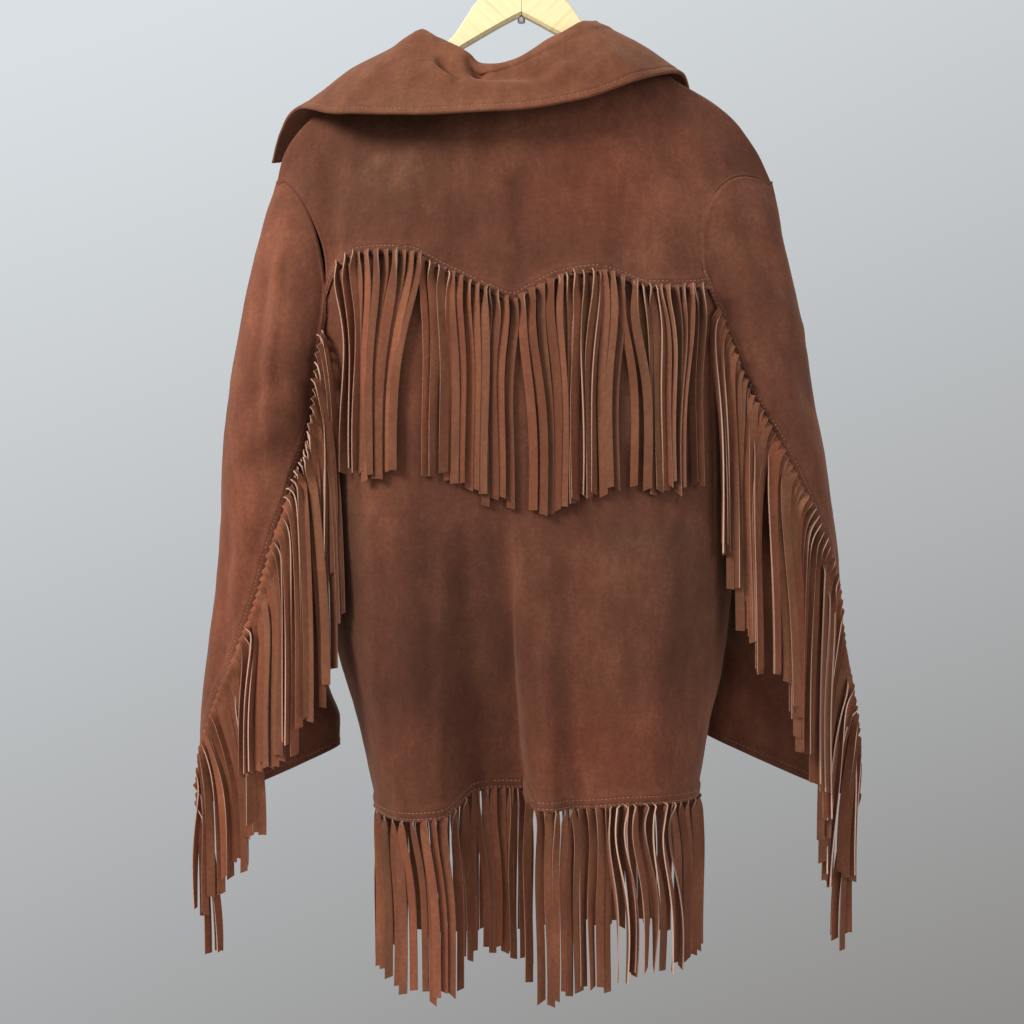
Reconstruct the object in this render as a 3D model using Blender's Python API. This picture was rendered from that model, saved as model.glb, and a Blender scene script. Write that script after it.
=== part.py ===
"""Fringed buckskin jacket with a wide turned-down collar, on a wooden hanger.

Metres, +Z up. The jacket's front faces -Y, the wearer's left is +X, and the origin is the
inner top of the hanger's hook, where a rail holds it. Every cloth piece is a thin wall
about a grid of points; the fringes are plain slabs of the reach of their strips.
"""

from collections import namedtuple

import bpy
import bmesh
import numpy as np

# ---------------------------------------------------------------- driving dimensions
WALL = 0.0016            # suede
COLLAR_WALL = 0.0024     # collar, two layers
GAP = 0.0003             # between pieces that lie edge to edge
TURN_GAP = 0.0024        # between pieces that meet at an angle
UNDERARM_V = 0.435       # share of the way from shoulder to hem
ARMHOLE_FULLNESS = 0.8   # below 1, an armhole's curve keeps its depth nearer to its ends
FLAT_SHARE = 0.45        # share of each quarter section that is flat
REAR_LENS_LEFT = 0.280   # how far the armholes bite into the back
REAR_LENS_RIGHT = 0.400
FRONT_LENS = 0.320       # and into the fronts
FRONT_OPENING = 0.012    # how far each front stops short of the middle, in quarter sections
NECK_CENTRE = 0.0165
NECK_HALF = 0.1015
NECK_BACK = 0.055        # reach of the neck hole behind and before the shoulder ridge
NECK_FRONT = 0.066
NECK_DROP_BACK = 0.055   # how far it dips there
NECK_DROP_FRONT = 0.110
NECK_FADE_V = 0.45       # where the wall no longer shows the neck hole's reach
FRINGE_THICK = 0.0035    # a slab of hanging strips
FRINGE_CLEAR = 0.0012    # between a slab and the cloth that it lies on
YOKE_FRINGE = 0.212      # lengths of the strips
HEM_FRINGE = 0.178
DRAPE_WIDE = 0.012       # strips rest on the cloth within this distance to the side
DRAPE_HIGH = 0.015       # and within this one up and down

WOOD_HALF = 0.0065       # half the hanger's thickness
WOOD_BEVEL = 0.003
HOOK_WIRE = 0.0016       # radius of the wire
HOOK_INSIDE = 0.020      # inner radius of the hook
HOOK_START = -38.0       # turn at which the bend begins, and at the wire's tip, in degrees
HOOK_TIP = 196.0
HOOK_POINTS = 22
STEM_BORE = 0.0021       # radius of the stem's hole in the wood
BORE_SIDES = 12
BORE_FOOT = -0.14        # the cutter passes the wood's foot and top
BORE_TOP = -0.06
NUT_RADIUS = 0.0040
NUT_FOOT = -0.1262
NUT_TOP = -0.1217

ARM_STEPS = 10           # steps from shoulder point to underarm, along each side
YOKE_STEPS = 6           # how many of them lie beside the yoke
HEM_STEPS = 8            # steps from underarm to hem
EVEN_COLUMNS = 21        # columns from side to side
FOLD_HALF = 0.1          # how far from the middle they give way to finer ones, at the fold
FOLD_COLUMNS = range(-4, 4)
FOLD_SPACING = 0.0225
YOKE_FRINGE_ROWS = 6
HEM_FRINGE_ROWS = 4
SLEEVE_FRINGE_ROWS = 7
SLEEVE_FRINGE_COLUMNS = 15

SUEDE = (0.135, 0.058, 0.036)
SUEDE_DARK = (0.100, 0.043, 0.028)
FRINGE_COLOUR = (0.170, 0.076, 0.045)
WOOD = (0.80, 0.66, 0.42)
STEEL = (0.60, 0.60, 0.58)

# ---------------------------------------------------------------- tables
# Crest of the shoulders from the wearer's right to left.
Crest = namedtuple("Crest", "x z")
CREST = (
    Crest(-0.2645, -0.2958),
    Crest(-0.2500, -0.2650),
    Crest(-0.2263, -0.2309),
    Crest(-0.2039, -0.2106),
    Crest(-0.1709, -0.1915),
    Crest(-0.0850, -0.1410),
    Crest(0.1180, -0.1650),
    Crest(0.1700, -0.1925),
    Crest(0.2075, -0.2150),
    Crest(0.2350, -0.2400),
    Crest(0.2520, -0.2680),
    Crest(0.2590, -0.2968),
)

# Sections of the body by v, the share of the way from crest to hem: the middle's x, the
# flat and the rounded part of each quarter, and the reach of the back and the front.
Body = namedtuple("Body", "v middle flat round back front")
BODY = (
    Body(0.00, -0.003, 0.130, 0.1318, 0.000, 0.000),
    Body(0.01, -0.003, 0.130, 0.1319, 0.010, 0.009),
    Body(0.04, -0.004, 0.128, 0.1330, 0.022, 0.020),
    Body(0.09, -0.004, 0.127, 0.1330, 0.038, 0.034),
    Body(0.15, -0.005, 0.125, 0.1330, 0.054, 0.048),
    Body(0.30, -0.008, 0.118, 0.1180, 0.079, 0.070),
    Body(0.42, -0.010, 0.112, 0.1040, 0.090, 0.084),
    Body(0.60, -0.010, 0.110, 0.1040, 0.095, 0.098),
    Body(0.75, -0.012, 0.106, 0.0990, 0.097, 0.104),
    Body(0.88, -0.015, 0.096, 0.0880, 0.099, 0.109),
    Body(1.00, -0.017, 0.086, 0.0830, 0.100, 0.112),
)

# Lower edge of the yoke: two scallops that meet in a point. Heights at the middle of the
# back's wall, against the share of the way from one armhole to the other.
Scallop = namedtuple("Scallop", "f z")
SCALLOPS = (
    Scallop(-1.00, -0.420),
    Scallop(-0.50, -0.424),
    Scallop(-0.36, -0.412),
    Scallop(-0.26, -0.407),
    Scallop(-0.12, -0.412),
    Scallop(0.07, -0.431),
    Scallop(0.15, -0.423),
    Scallop(0.31, -0.404),
    Scallop(0.48, -0.387),
    Scallop(0.64, -0.386),
    Scallop(0.80, -0.395),
    Scallop(1.00, -0.432),
)

# Cut edge of the body round from the front's middle, over the right side.
Hem = namedtuple("Hem", "a z")
HEM = (
    Hem(-2.00, -0.945),
    Hem(-1.00, -0.944),
    Hem(-0.50, -0.938),
    Hem(-0.20, -0.943),
    Hem(0.20, -0.943),
    Hem(0.45, -0.951),
    Hem(0.75, -0.957),
    Hem(1.00, -0.957),
    Hem(2.00, -0.945),
)

# Soft folds: where one runs at its start and at the hem, how wide each flank is, and how
# deep it gets at mid-height and at the hem. side is 1 on the back and -1 on the fronts.
Fold = namedtuple("Fold", "side start x_start x_hem flank depth_mid depth_hem")
FOLDS = (
    Fold(1, 0.62, -0.050, -0.056, 0.020, 0.004, 0.009),
    Fold(1, 0.66, 0.120, 0.112, 0.028, -0.003, -0.006),
    Fold(1, 0.60, -0.018, -0.030, 0.014, -0.003, -0.008),
    Fold(-1, 0.45, 0.095, 0.082, 0.026, 0.006, 0.014),
    Fold(-1, 0.55, 0.045, 0.040, 0.020, -0.003, -0.008),
    Fold(-1, 0.50, -0.115, -0.098, 0.026, 0.007, 0.016),
    Fold(-1, 0.60, -0.060, -0.052, 0.020, -0.003, -0.007),
)
# The deep fold at the back's middle: the right side laps over a recess on the left.
LAP_START = 0.52
LAP_EDGE_TOP = 0.010
LAP_EDGE_HEM = -0.010
LAP_EDGE_WIDTH = 0.006
RECESS_FAR_SIDE = 0.066
RECESS_FLANK = 0.018
RECESS_MID = 0.010
RECESS_HEM = 0.044
RECESS_RISE = 0.014      # the hem is pulled up in the recess
RECESS_RISE_START = 0.7

# Sleeves, ring by ring from armhole to cuff. Each ring runs from its inner side to its
# outer side in x (away from the middle) and z; y and depth place it front to back; rear
# and front are the turns of the two seams, with 0 on the inner side and 90 behind; join
# is how much of the armhole's own outline is left in the ring.
Ring = namedtuple("Ring", "k outer_x outer_z inner_x inner_z y depth rear front join")
LEFT_SLEEVE = (
    Ring(0.00, 0.259, -0.297, 0.209, -0.575, 0.000, 0.070, 72, 270, 1.00),
    Ring(0.06, 0.270, -0.331, 0.213, -0.584, 0.003, 0.071, 56, 272, 0.66),
    Ring(0.13, 0.282, -0.376, 0.214, -0.594, 0.005, 0.072, 44, 274, 0.36),
    Ring(0.22, 0.296, -0.445, 0.212, -0.608, 0.005, 0.072, 45, 277, 0.12),
    Ring(0.31, 0.307, -0.511, 0.210, -0.627, 0.002, 0.071, 53, 280, 0.00),
    Ring(0.41, 0.316, -0.579, 0.210, -0.657, -0.004, 0.069, 62, 283, 0.00),
    Ring(0.51, 0.321, -0.650, 0.210, -0.698, -0.014, 0.064, 78, 286, 0.00),
    Ring(0.61, 0.328, -0.718, 0.211, -0.745, -0.024, 0.058, 91, 290, 0.00),
    Ring(0.71, 0.339, -0.788, 0.211, -0.790, -0.034, 0.052, 108, 294, 0.00),
    Ring(0.81, 0.348, -0.850, 0.212, -0.833, -0.042, 0.046, 130, 298, 0.00),
    Ring(0.90, 0.352, -0.905, 0.200, -0.872, -0.048, 0.041, 152, 302, 0.00),
    Ring(1.00, 0.352, -0.968, 0.201, -0.903, -0.052, 0.036, 170, 306, 0.00),
)
RIGHT_SLEEVE = (
    Ring(0.00, 0.265, -0.297, 0.228, -0.575, 0.000, 0.070, 72, 270, 1.00),
    Ring(0.06, 0.274, -0.336, 0.232, -0.584, 0.001, 0.071, 60, 272, 0.66),
    Ring(0.13, 0.280, -0.376, 0.233, -0.594, 0.002, 0.072, 57, 274, 0.36),
    Ring(0.22, 0.291, -0.430, 0.232, -0.608, 0.001, 0.072, 64, 277, 0.12),
    Ring(0.31, 0.302, -0.487, 0.231, -0.627, -0.001, 0.071, 76, 280, 0.00),
    Ring(0.41, 0.315, -0.552, 0.231, -0.655, -0.006, 0.069, 90, 283, 0.00),
    Ring(0.51, 0.328, -0.622, 0.231, -0.694, -0.014, 0.064, 110, 286, 0.00),
    Ring(0.61, 0.341, -0.702, 0.229, -0.738, -0.026, 0.058, 133, 290, 0.00),
    Ring(0.71, 0.351, -0.780, 0.225, -0.784, -0.038, 0.052, 146, 294, 0.00),
    Ring(0.81, 0.362, -0.840, 0.217, -0.828, -0.048, 0.046, 160, 298, 0.00),
    Ring(0.90, 0.367, -0.898, 0.209, -0.862, -0.055, 0.041, 168, 302, 0.00),
    Ring(1.00, 0.368, -0.962, 0.205, -0.892, -0.060, 0.036, 174, 306, 0.00),
)

# Where a sleeve's strips end, from the armhole (u = 0) to the cuff: how far they fan
# towards the body, and how long they are there.
Reach = namedtuple("Reach", "u fan length")
LEFT_REACH = (
    Reach(0.00, 0.018, 0.200),
    Reach(0.14, 0.026, 0.248),
    Reach(0.22, 0.026, 0.250),
    Reach(0.34, 0.016, 0.238),
    Reach(0.60, 0.004, 0.235),
    Reach(1.00, 0.010, 0.185),
)
RIGHT_REACH = (
    Reach(0.00, 0.008, 0.226),
    Reach(0.08, 0.008, 0.250),
    Reach(0.30, 0.004, 0.240),
    Reach(0.70, 0.008, 0.235),
    Reach(1.00, 0.012, 0.172),
)

# Collar from the wearer's left front end, round the back, to the right: its seam on the
# neck hole, its top fold, and its outer edge.
Spread = namedtuple("Spread", "c seam fold edge")
COLLAR = (
    Spread(0.00, (0.098, -0.064, -0.252), (0.100, -0.073, -0.246), (0.274, -0.054, -0.262)),
    Spread(0.14, (0.117, -0.036, -0.196), (0.121, -0.040, -0.184), (0.262, -0.026, -0.242)),
    Spread(0.26, (0.116, 0.004, -0.157), (0.114, 0.001, -0.143), (0.235, 0.016, -0.223)),
    Spread(0.36, (0.104, 0.030, -0.167), (0.106, 0.022, -0.142), (0.186, 0.073, -0.244)),
    Spread(0.48, (0.064, 0.047, -0.190), (0.067, 0.044, -0.165), (0.092, 0.094, -0.249)),
    Spread(0.60, (0.013, 0.053, -0.199), (0.012, 0.054, -0.180), (0.013, 0.094, -0.246)),
    Spread(0.71, (-0.034, 0.046, -0.180), (-0.033, 0.044, -0.156), (-0.058, 0.086, -0.233)),
    Spread(0.80, (-0.069, 0.028, -0.154), (-0.067, 0.020, -0.131), (-0.116, 0.062, -0.208)),
    Spread(0.87, (-0.083, 0.003, -0.134), (-0.082, 0.000, -0.127), (-0.170, 0.009, -0.1845)),
    Spread(0.94, (-0.083, -0.036, -0.172), (-0.088, -0.040, -0.162), (-0.188, -0.050, -0.226)),
    Spread(1.00, (-0.063, -0.064, -0.240), (-0.066, -0.073, -0.234), (-0.190, -0.082, -0.290)),
)
COLLAR_COLUMNS = 30
COLLAR_CROWN = 0.005     # how far the fall arches between its fold and its edge
COLLAR_ROLL = 0.002      # the roll stands this far above the fold
COLLAR_ROLL_OUT = 0.004  # and this far out from it
COLLAR_ROLL_SHARE = 0.04
COLLAR_FALL = (0.22, 0.48, 0.74, 1.0)

# Hanger, from its joint outward: upper and lower edge.
Arm = namedtuple("Arm", "x top foot")
ARM = (
    Arm(0.0002, -0.0760, -0.1190),
    Arm(0.0150, -0.0800, -0.1265),
    Arm(0.0320, -0.0900, -0.1360),
    Arm(0.0500, -0.1075, -0.1465),
    Arm(0.0720, -0.1410, -0.1600),
    Arm(0.1050, -0.1690, -0.1870),
    Arm(0.1500, -0.1890, -0.2070),
    Arm(0.1900, -0.2115, -0.2285),
    Arm(0.2050, -0.2240, -0.2370),
)
ARM_BEND = (0.072, 0.088)  # the stretch of an arm where it turns towards its tip
ARM_SECTIONS = 8         # on each side of the bend
RIGHT_LIFT = 0.005       # the right arm rides a little higher beside the neck
LIFT_START = (0.03, 0.08)
LIFT_FADE = (0.12, 0.20)
LIFT_FADE_SHARE = 0.6

# The wire below the hook, from its end under the wood to the start of the bend: x and z.
Stem = namedtuple("Stem", "x z")
STEM = (
    Stem(0.0000, -0.1214),
    Stem(0.0000, -0.0900),
    Stem(0.0000, -0.0660),
    Stem(0.0012, -0.0580),
    Stem(0.0062, -0.0480),
)


# ---------------------------------------------------------------- helpers
def smooth(rows, key, column, at):
    """A column of a table read between its rows on a curve that never overshoots them."""
    x = np.array([getattr(row, key) for row in rows], float)
    y = np.array([getattr(row, column) for row in rows], float)
    at = np.clip(np.asarray(at, float), x[0], x[-1])
    if y.ndim == 2:
        return np.stack([_hermite(x, y[:, i], at) for i in range(y.shape[1])], -1)
    return _hermite(x, y, at)


def _hermite(x, y, at):
    step = np.diff(x)
    rise = np.diff(y) / step
    slope = np.empty_like(y)
    slope[0] = rise[0]
    slope[-1] = rise[-1]
    same = rise[:-1] * rise[1:] > 0
    safe = np.where(same, rise[:-1] + rise[1:], 1.0)
    slope[1:-1] = np.where(same, 2.0 * rise[:-1] * rise[1:] / safe, 0.0)
    i = np.clip(np.searchsorted(x, at, side="right") - 1, 0, len(x) - 2)
    t = (at - x[i]) / step[i]
    start = (1.0 + 2.0 * t) * (1.0 - t) ** 2 * y[i] + t * (1.0 - t) ** 2 * step[i] * slope[i]
    end = t * t * (3.0 - 2.0 * t) * y[i + 1] + t * t * (t - 1.0) * step[i] * slope[i + 1]
    return start + end


def ease(low, high, at):
    """0 below low, 1 above high, and a soft S between."""
    t = np.clip((at - low) / (high - low), 0.0, 1.0)
    return t * t * (3.0 - 2.0 * t)


def unit(vectors):
    length = np.linalg.norm(vectors, axis=-1, keepdims=True)
    return vectors / np.maximum(length, 1e-12)


def grid_normals(points):
    """Normals of a grid of points, from its two directions."""
    down = np.gradient(points, axis=0)
    along = np.gradient(points, axis=1)
    return unit(np.cross(along, down))


def trim(points, edges, by):
    """The grid with the named edges drawn in towards their neighbours."""
    out = points.copy()
    if "top" in edges:
        out[0] += by * unit(points[1] - points[0])
    if "foot" in edges:
        out[-1] += by * unit(points[-2] - points[-1])
    if "start" in edges:
        out[:, 0] += by * unit(points[:, 1] - points[:, 0])
    if "end" in edges:
        out[:, -1] += by * unit(points[:, -2] - points[:, -1])
    return out


# ---------------------------------------------------------------- building objects
def material(name, colour, roughness, metallic=0.0):
    made = bpy.data.materials.new(name)
    made.use_nodes = True
    shader = made.node_tree.nodes["Principled BSDF"]
    shader.inputs["Base Color"].default_value = (*colour, 1.0)
    shader.inputs["Roughness"].default_value = roughness
    shader.inputs["Metallic"].default_value = metallic
    return made


def add_object(name, vertices, faces, colour, roughness=0.9, metallic=0.0):
    """A closed mesh as a named object, its faces turned outward."""
    mesh = bpy.data.meshes.new(name)
    mesh.from_pydata([tuple(v) for v in vertices], [], faces)
    form = bmesh.new()
    form.from_mesh(mesh)
    bmesh.ops.triangulate(form, faces=form.faces[:])
    bmesh.ops.recalc_face_normals(form, faces=form.faces[:])
    if form.calc_volume(signed=True) < 0.0:
        bmesh.ops.reverse_faces(form, faces=form.faces[:])
    form.to_mesh(mesh)
    form.free()
    made = bpy.data.objects.new(name, mesh)
    bpy.context.scene.collection.objects.link(made)
    made.data.materials.append(material(name + "_finish", colour, roughness, metallic))
    return made


def add_wall(name, outer, inner, colour):
    """A closed wall between two grids of the same shape."""
    rows, columns = outer.shape[:2]
    count = rows * columns
    vertices = np.concatenate([outer.reshape(-1, 3), inner.reshape(-1, 3)])
    faces = []
    for r in range(rows - 1):
        for c in range(columns - 1):
            a = r * columns + c
            quad = (a, a + 1, a + columns + 1, a + columns)
            faces.append(quad)
            faces.append(tuple(count + i for i in reversed(quad)))
    rim = [c for c in range(columns)]
    rim += [r * columns + columns - 1 for r in range(1, rows)]
    rim += [(rows - 1) * columns + c for c in range(columns - 2, -1, -1)]
    rim += [r * columns for r in range(rows - 2, 0, -1)]
    for a, b in zip(rim, rim[1:] + rim[:1]):
        faces.append((b, a, count + a, count + b))
    return add_object(name, vertices, faces, colour)


def add_sheet(name, middle, normals, thickness, colour):
    """A wall of one thickness, half on each side of a grid."""
    half = 0.5 * thickness * normals
    return add_wall(name, middle + half, middle - half, colour)


def add_loft(name, sections, colour, roughness, metallic=0.0):
    """A closed solid through rings that have the same number of points."""
    rings, size = len(sections), len(sections[0])
    vertices = np.concatenate(sections)
    faces = [tuple(range(size)), tuple((rings - 1) * size + i for i in reversed(range(size)))]
    for r in range(rings - 1):
        for i in range(size):
            j = (i + 1) % size
            faces.append((r * size + i, (r + 1) * size + i, (r + 1) * size + j, r * size + j))
    return add_object(name, vertices, faces, colour, roughness, metallic)


# ---------------------------------------------------------------- the body's surface
def neck_share(x):
    """How far x lies inside the neck hole: 1 at its middle, 0 at its ends and outside."""
    return np.clip(1.0 - ((x - NECK_CENTRE) / NECK_HALF) ** 2, 0.0, 1.0)


def fold_shift(x, v, front):
    """How far the folds pull the wall inward."""
    shift = np.zeros_like(x)
    for row in FOLDS:
        share = np.clip((v - row.start) / (1.0 - row.start), 0.0, 1.0)
        middle = row.x_start + (row.x_hem - row.x_start) * share
        depth = row.depth_mid * ease(0.0, 0.5, share) + (row.depth_hem - row.depth_mid) * share ** 2
        profile = np.exp(-((x - middle) / row.flank) ** 2)
        shift += np.where(front == (row.side < 0), depth * profile, 0.0)
    return shift


def recess_share(x, v):
    """1 in the recess beside the back's middle fold, 0 outside it."""
    share = np.clip((v - LAP_START) / (1.0 - LAP_START), 0.0, 1.0)
    edge = LAP_EDGE_TOP + (LAP_EDGE_HEM - LAP_EDGE_TOP) * share
    near = ease(edge - LAP_EDGE_WIDTH, edge + LAP_EDGE_WIDTH, x)
    far = 1.0 - ease(RECESS_FAR_SIDE - RECESS_FLANK, RECESS_FAR_SIDE + RECESS_FLANK, x)
    return near * far


def recess_depth(v):
    share = np.clip((v - LAP_START) / (1.0 - LAP_START), 0.0, 1.0)
    return RECESS_MID * ease(0.0, 0.6, share) + (RECESS_HEM - RECESS_MID) * share ** 2


def body(a, v):
    """A point of the wall: a runs from 0 at the back's middle over 1 at the left side to
    2 at the front's middle, and below 0 round the right side; v runs from crest to hem."""
    a, v = np.broadcast_arrays(np.asarray(a, float), np.asarray(v, float))
    front = np.abs(a) > 1.0
    quarter = np.where(front, 2.0 - np.abs(a), np.abs(a))
    side = np.where(a < 0.0, -1.0, 1.0)
    turn = 0.5 * np.pi * np.clip((quarter - FLAT_SHARE) / (1.0 - FLAT_SHARE), 0.0, 1.0)
    flat = np.clip(quarter / FLAT_SHARE, 0.0, 1.0)

    def across(at):
        width = smooth(BODY, "v", "flat", at) * flat + smooth(BODY, "v", "round", at) * np.sin(turn)
        return smooth(BODY, "v", "middle", at) + side * width

    x = across(v)
    x_top = across(np.zeros_like(v))
    inside = neck_share(x_top)
    reach = np.where(front, smooth(BODY, "v", "front", v), smooth(BODY, "v", "back", v))
    neck = np.where(front, NECK_FRONT, NECK_BACK) * np.sqrt(inside) * (1.0 - ease(0.0, NECK_FADE_V, v))
    y = np.sqrt((reach * np.cos(turn)) ** 2 + neck ** 2)
    y = y - fold_shift(x, v, front) - np.where(front, 0.0, recess_share(x, v) * recess_depth(v))
    y = np.where(front, -y, y)
    drop = np.where(front, NECK_DROP_FRONT, NECK_DROP_BACK) * inside
    top = smooth(CREST, "x", "z", x_top) - drop
    rise = np.where(front, 0.0, RECESS_RISE * recess_share(x, v) * ease(RECESS_RISE_START, 1.0, v))
    z = top + (smooth(HEM, "a", "z", a) - top) * v + rise
    return np.stack([x, y, z], -1)


def body_normals(a, v):
    step = 0.002
    along = body(a + step, v) - body(a - step, v)
    down = body(a, np.minimum(v + step, 1.0)) - body(a, np.maximum(v - step, 0.0))
    normals = unit(np.cross(along, down))
    crest = (np.broadcast_to(v, normals.shape[:-1]) == 0.0) & (neck_share(body(a, v)[..., 0]) == 0.0)
    normals[..., 1] = np.where(crest, 0.0, normals[..., 1])
    return unit(normals)


def armhole(v, lens):
    """How far out, in quarter sections, a panel reaches beside the armhole."""
    return 1.0 - lens * np.sin(np.pi * np.clip(v / UNDERARM_V, 0.0, 1.0)) ** ARMHOLE_FULLNESS


def rear_lens(side):
    return np.where(side < 0.0, REAR_LENS_RIGHT, REAR_LENS_LEFT)


def back_a(f, v):
    """The place round the body of a back column, pushed in beside the armholes."""
    return f * (1.0 - (1.0 - armhole(v, rear_lens(f))) * f * f)


def front_a(f, v):
    """The same for the left front, whose columns run from the side to the middle."""
    return 2.0 - f * (1.0 - (1.0 - armhole(v, FRONT_LENS)) * f * f)


def arm_rows():
    """Rows from the crest to the underarm, closest together at both ends."""
    turn = np.linspace(np.pi, 0.0, ARM_STEPS + 1)
    return UNDERARM_V * 0.5 * (1.0 + np.cos(turn))


def hem_rows():
    return np.linspace(UNDERARM_V, 1.0, HEM_STEPS + 1)[1:]


def columns():
    """Columns from side to side, with more of them at the back's fold."""
    kept = [f for f in np.linspace(-1.0, 1.0, EVEN_COLUMNS) if abs(f) > FOLD_HALF]
    return np.array(sorted(kept + [i * FOLD_SPACING for i in FOLD_COLUMNS]))


def front_columns():
    """Columns of a front, from its opening to the side."""
    return np.array([FRONT_OPENING] + [f for f in columns() if f > FOLD_HALF])


def yoke_edge(f):
    """v of the yoke's lower edge in column f."""
    corner = arm_rows()[YOKE_STEPS]
    edge = np.full_like(f, corner)
    for _ in range(4):
        top = body(back_a(f, edge), 0.0)[..., 2]
        foot = body(back_a(f, edge), 1.0)[..., 2]
        edge = (smooth(SCALLOPS, "f", "z", f) - top) / (foot - top)
    return np.where(np.abs(f) >= 1.0, corner, edge)


# ---------------------------------------------------------------- body panels
def build_body():
    f = columns()[None, :]
    arm = arm_rows()
    edge = yoke_edge(f)
    corner = arm[YOKE_STEPS]
    upper = arm[:YOKE_STEPS + 1, None] * edge / corner
    lower_rows = np.concatenate([arm[YOKE_STEPS:], hem_rows()])[:, None]
    lower = edge + (lower_rows - corner) * (1.0 - edge) / (1.0 - corner)
    for name, v, colour in (("back_yoke", upper, SUEDE), ("back_panel", lower, SUEDE_DARK)):
        a = back_a(f, v)
        points = trim(body(a, v), ("top", "foot", "start", "end"), 0.5 * GAP)
        add_sheet(name, points, body_normals(a, v), WALL, colour)

    v = np.concatenate([arm, hem_rows()])[:, None]
    f = front_columns()[None, :]
    for name, side in (("front_left", 1.0), ("front_right", -1.0)):
        a = side * front_a(f, v)
        points = trim(body(a, v), ("top", "foot", "end"), 0.5 * GAP)
        add_sheet(name, points, body_normals(a, v), WALL, SUEDE)


# ---------------------------------------------------------------- sleeves
def armhole_loop(side, turn):
    """The armhole's outline, with turn 0 at the underarm and 180 at the shoulder point."""
    turn = np.radians(turn)
    v = UNDERARM_V * 0.5 * (1.0 + np.cos(turn))
    behind = np.sin(turn) >= 0.0
    back = armhole(v, rear_lens(side))
    front = 2.0 - armhole(v, FRONT_LENS)
    return body(side * np.where(behind, back, front), v)


def sleeve(rows, side, turn, k):
    """A point of a sleeve's wall: turn runs round it and k from armhole to cuff."""
    turn, k = np.broadcast_arrays(np.asarray(turn, float), np.asarray(k, float))
    get = {name: smooth(rows, "k", name, k) for name in Ring._fields[1:]}
    angle = np.radians(turn)
    share = 0.5 * (1.0 - np.cos(angle))
    x = side * (get["inner_x"] + (get["outer_x"] - get["inner_x"]) * share)
    z = get["inner_z"] + (get["outer_z"] - get["inner_z"]) * share
    y = get["y"] + get["depth"] * np.sin(angle)
    ring = np.stack([x, y, z], -1)
    join = get["join"][..., None]
    out = np.array([side * TURN_GAP, 0.0, 0.0])
    return join * (armhole_loop(side, turn) + out) + (1.0 - join) * ring


def sleeve_normals(rows, side, turn, k):
    step = 0.004
    round_it = sleeve(rows, side, turn + 1.0, k) - sleeve(rows, side, turn - 1.0, k)
    down = sleeve(rows, side, turn, np.minimum(k + step, 1.0))
    down = down - sleeve(rows, side, turn, np.maximum(k - step, 0.0))
    return unit(side * np.cross(round_it, down))


def sleeve_seams(rows, k):
    return smooth(rows, "k", "rear", k), smooth(rows, "k", "front", k)


def build_sleeve(word, rows, side):
    k = np.array([row.k for row in rows])[:, None]
    rear, front = sleeve_seams(rows, k)
    for name, start, end, steps, colour in (
        ("sleeve_upper_", rear, front, ARM_STEPS // 2 + YOKE_STEPS, SUEDE),
        ("sleeve_under_", front - 360.0, rear, 3 * ARM_STEPS // 2 - YOKE_STEPS, SUEDE_DARK),
    ):
        turn = start + (end - start) * np.linspace(0.0, 1.0, steps + 1)[None, :]
        points = trim(sleeve(rows, side, turn, k), ("start", "end"), 0.5 * GAP)
        add_sheet(name + word, points, sleeve_normals(rows, side, turn, k), WALL, colour)


# ---------------------------------------------------------------- collar
def build_collar():
    c = np.linspace(0.0, 1.0, COLLAR_COLUMNS)
    seam = smooth(COLLAR, "c", "seam", c)
    fold = smooth(COLLAR, "c", "fold", c)
    edge = smooth(COLLAR, "c", "edge", c)
    roll = fold + COLLAR_ROLL_SHARE * (edge - fold) + COLLAR_ROLL_OUT * unit(edge - seam)
    roll[:, 2] += COLLAR_ROLL
    rows = [seam, 0.5 * (seam + fold), fold, roll]
    for share in COLLAR_FALL:
        lift = np.array([0.0, 0.0, COLLAR_CROWN]) * np.sin(np.pi * share)
        rows.append(fold + share * (edge - fold) + lift)
    points = np.array(rows)
    add_sheet("collar", points, grid_normals(points), COLLAR_WALL, SUEDE)


# ---------------------------------------------------------------- fringes
def cloth_behind():
    """Points all over the outside of the body and sleeves, on the side that faces +Y."""
    a = np.linspace(-1.15, 1.15, 150)[None, :]
    v = np.linspace(0.0, 1.0, 160)[:, None]
    clouds = [body(a, v)]
    turn = np.linspace(-10.0, 190.0, 60)[None, :]
    k = np.linspace(0.0, 1.0, 160)[:, None]
    clouds.append(sleeve(LEFT_SLEEVE, 1.0, turn, k))
    clouds.append(sleeve(RIGHT_SLEEVE, -1.0, turn, k))
    return np.concatenate([cloud.reshape(-1, 3) for cloud in clouds])


def hang(roots, ends, cloud, rows):
    """Lines from roots to ends that hang straight, and over any cloth that is in the way."""
    share = np.linspace(0.0, 1.0, rows)[:, None, None]
    lines = roots[None] + (ends - roots)[None] * share
    for column in range(lines.shape[1]):
        for row in range(1, rows):
            x, y, z = lines[row, column]
            near = np.abs(cloud[:, 0] - x) < DRAPE_WIDE
            near &= np.abs(cloud[:, 2] - z) < DRAPE_HIGH
            high = cloud[near, 1].max() + 0.5 * WALL + FRINGE_CLEAR if near.any() else y
            lines[row, column, 1] = max(high, lines[row - 1, column, 1])
    lines[1:, 1:-1, 1] = np.maximum(
        lines[1:, 1:-1, 1],
        0.5 * (lines[1:, :-2, 1] + lines[1:, 2:, 1]),
    )
    return lines


def add_fringe(name, inner, normals, thickness):
    add_wall(name, inner + thickness * normals, inner, FRINGE_COLOUR)


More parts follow.
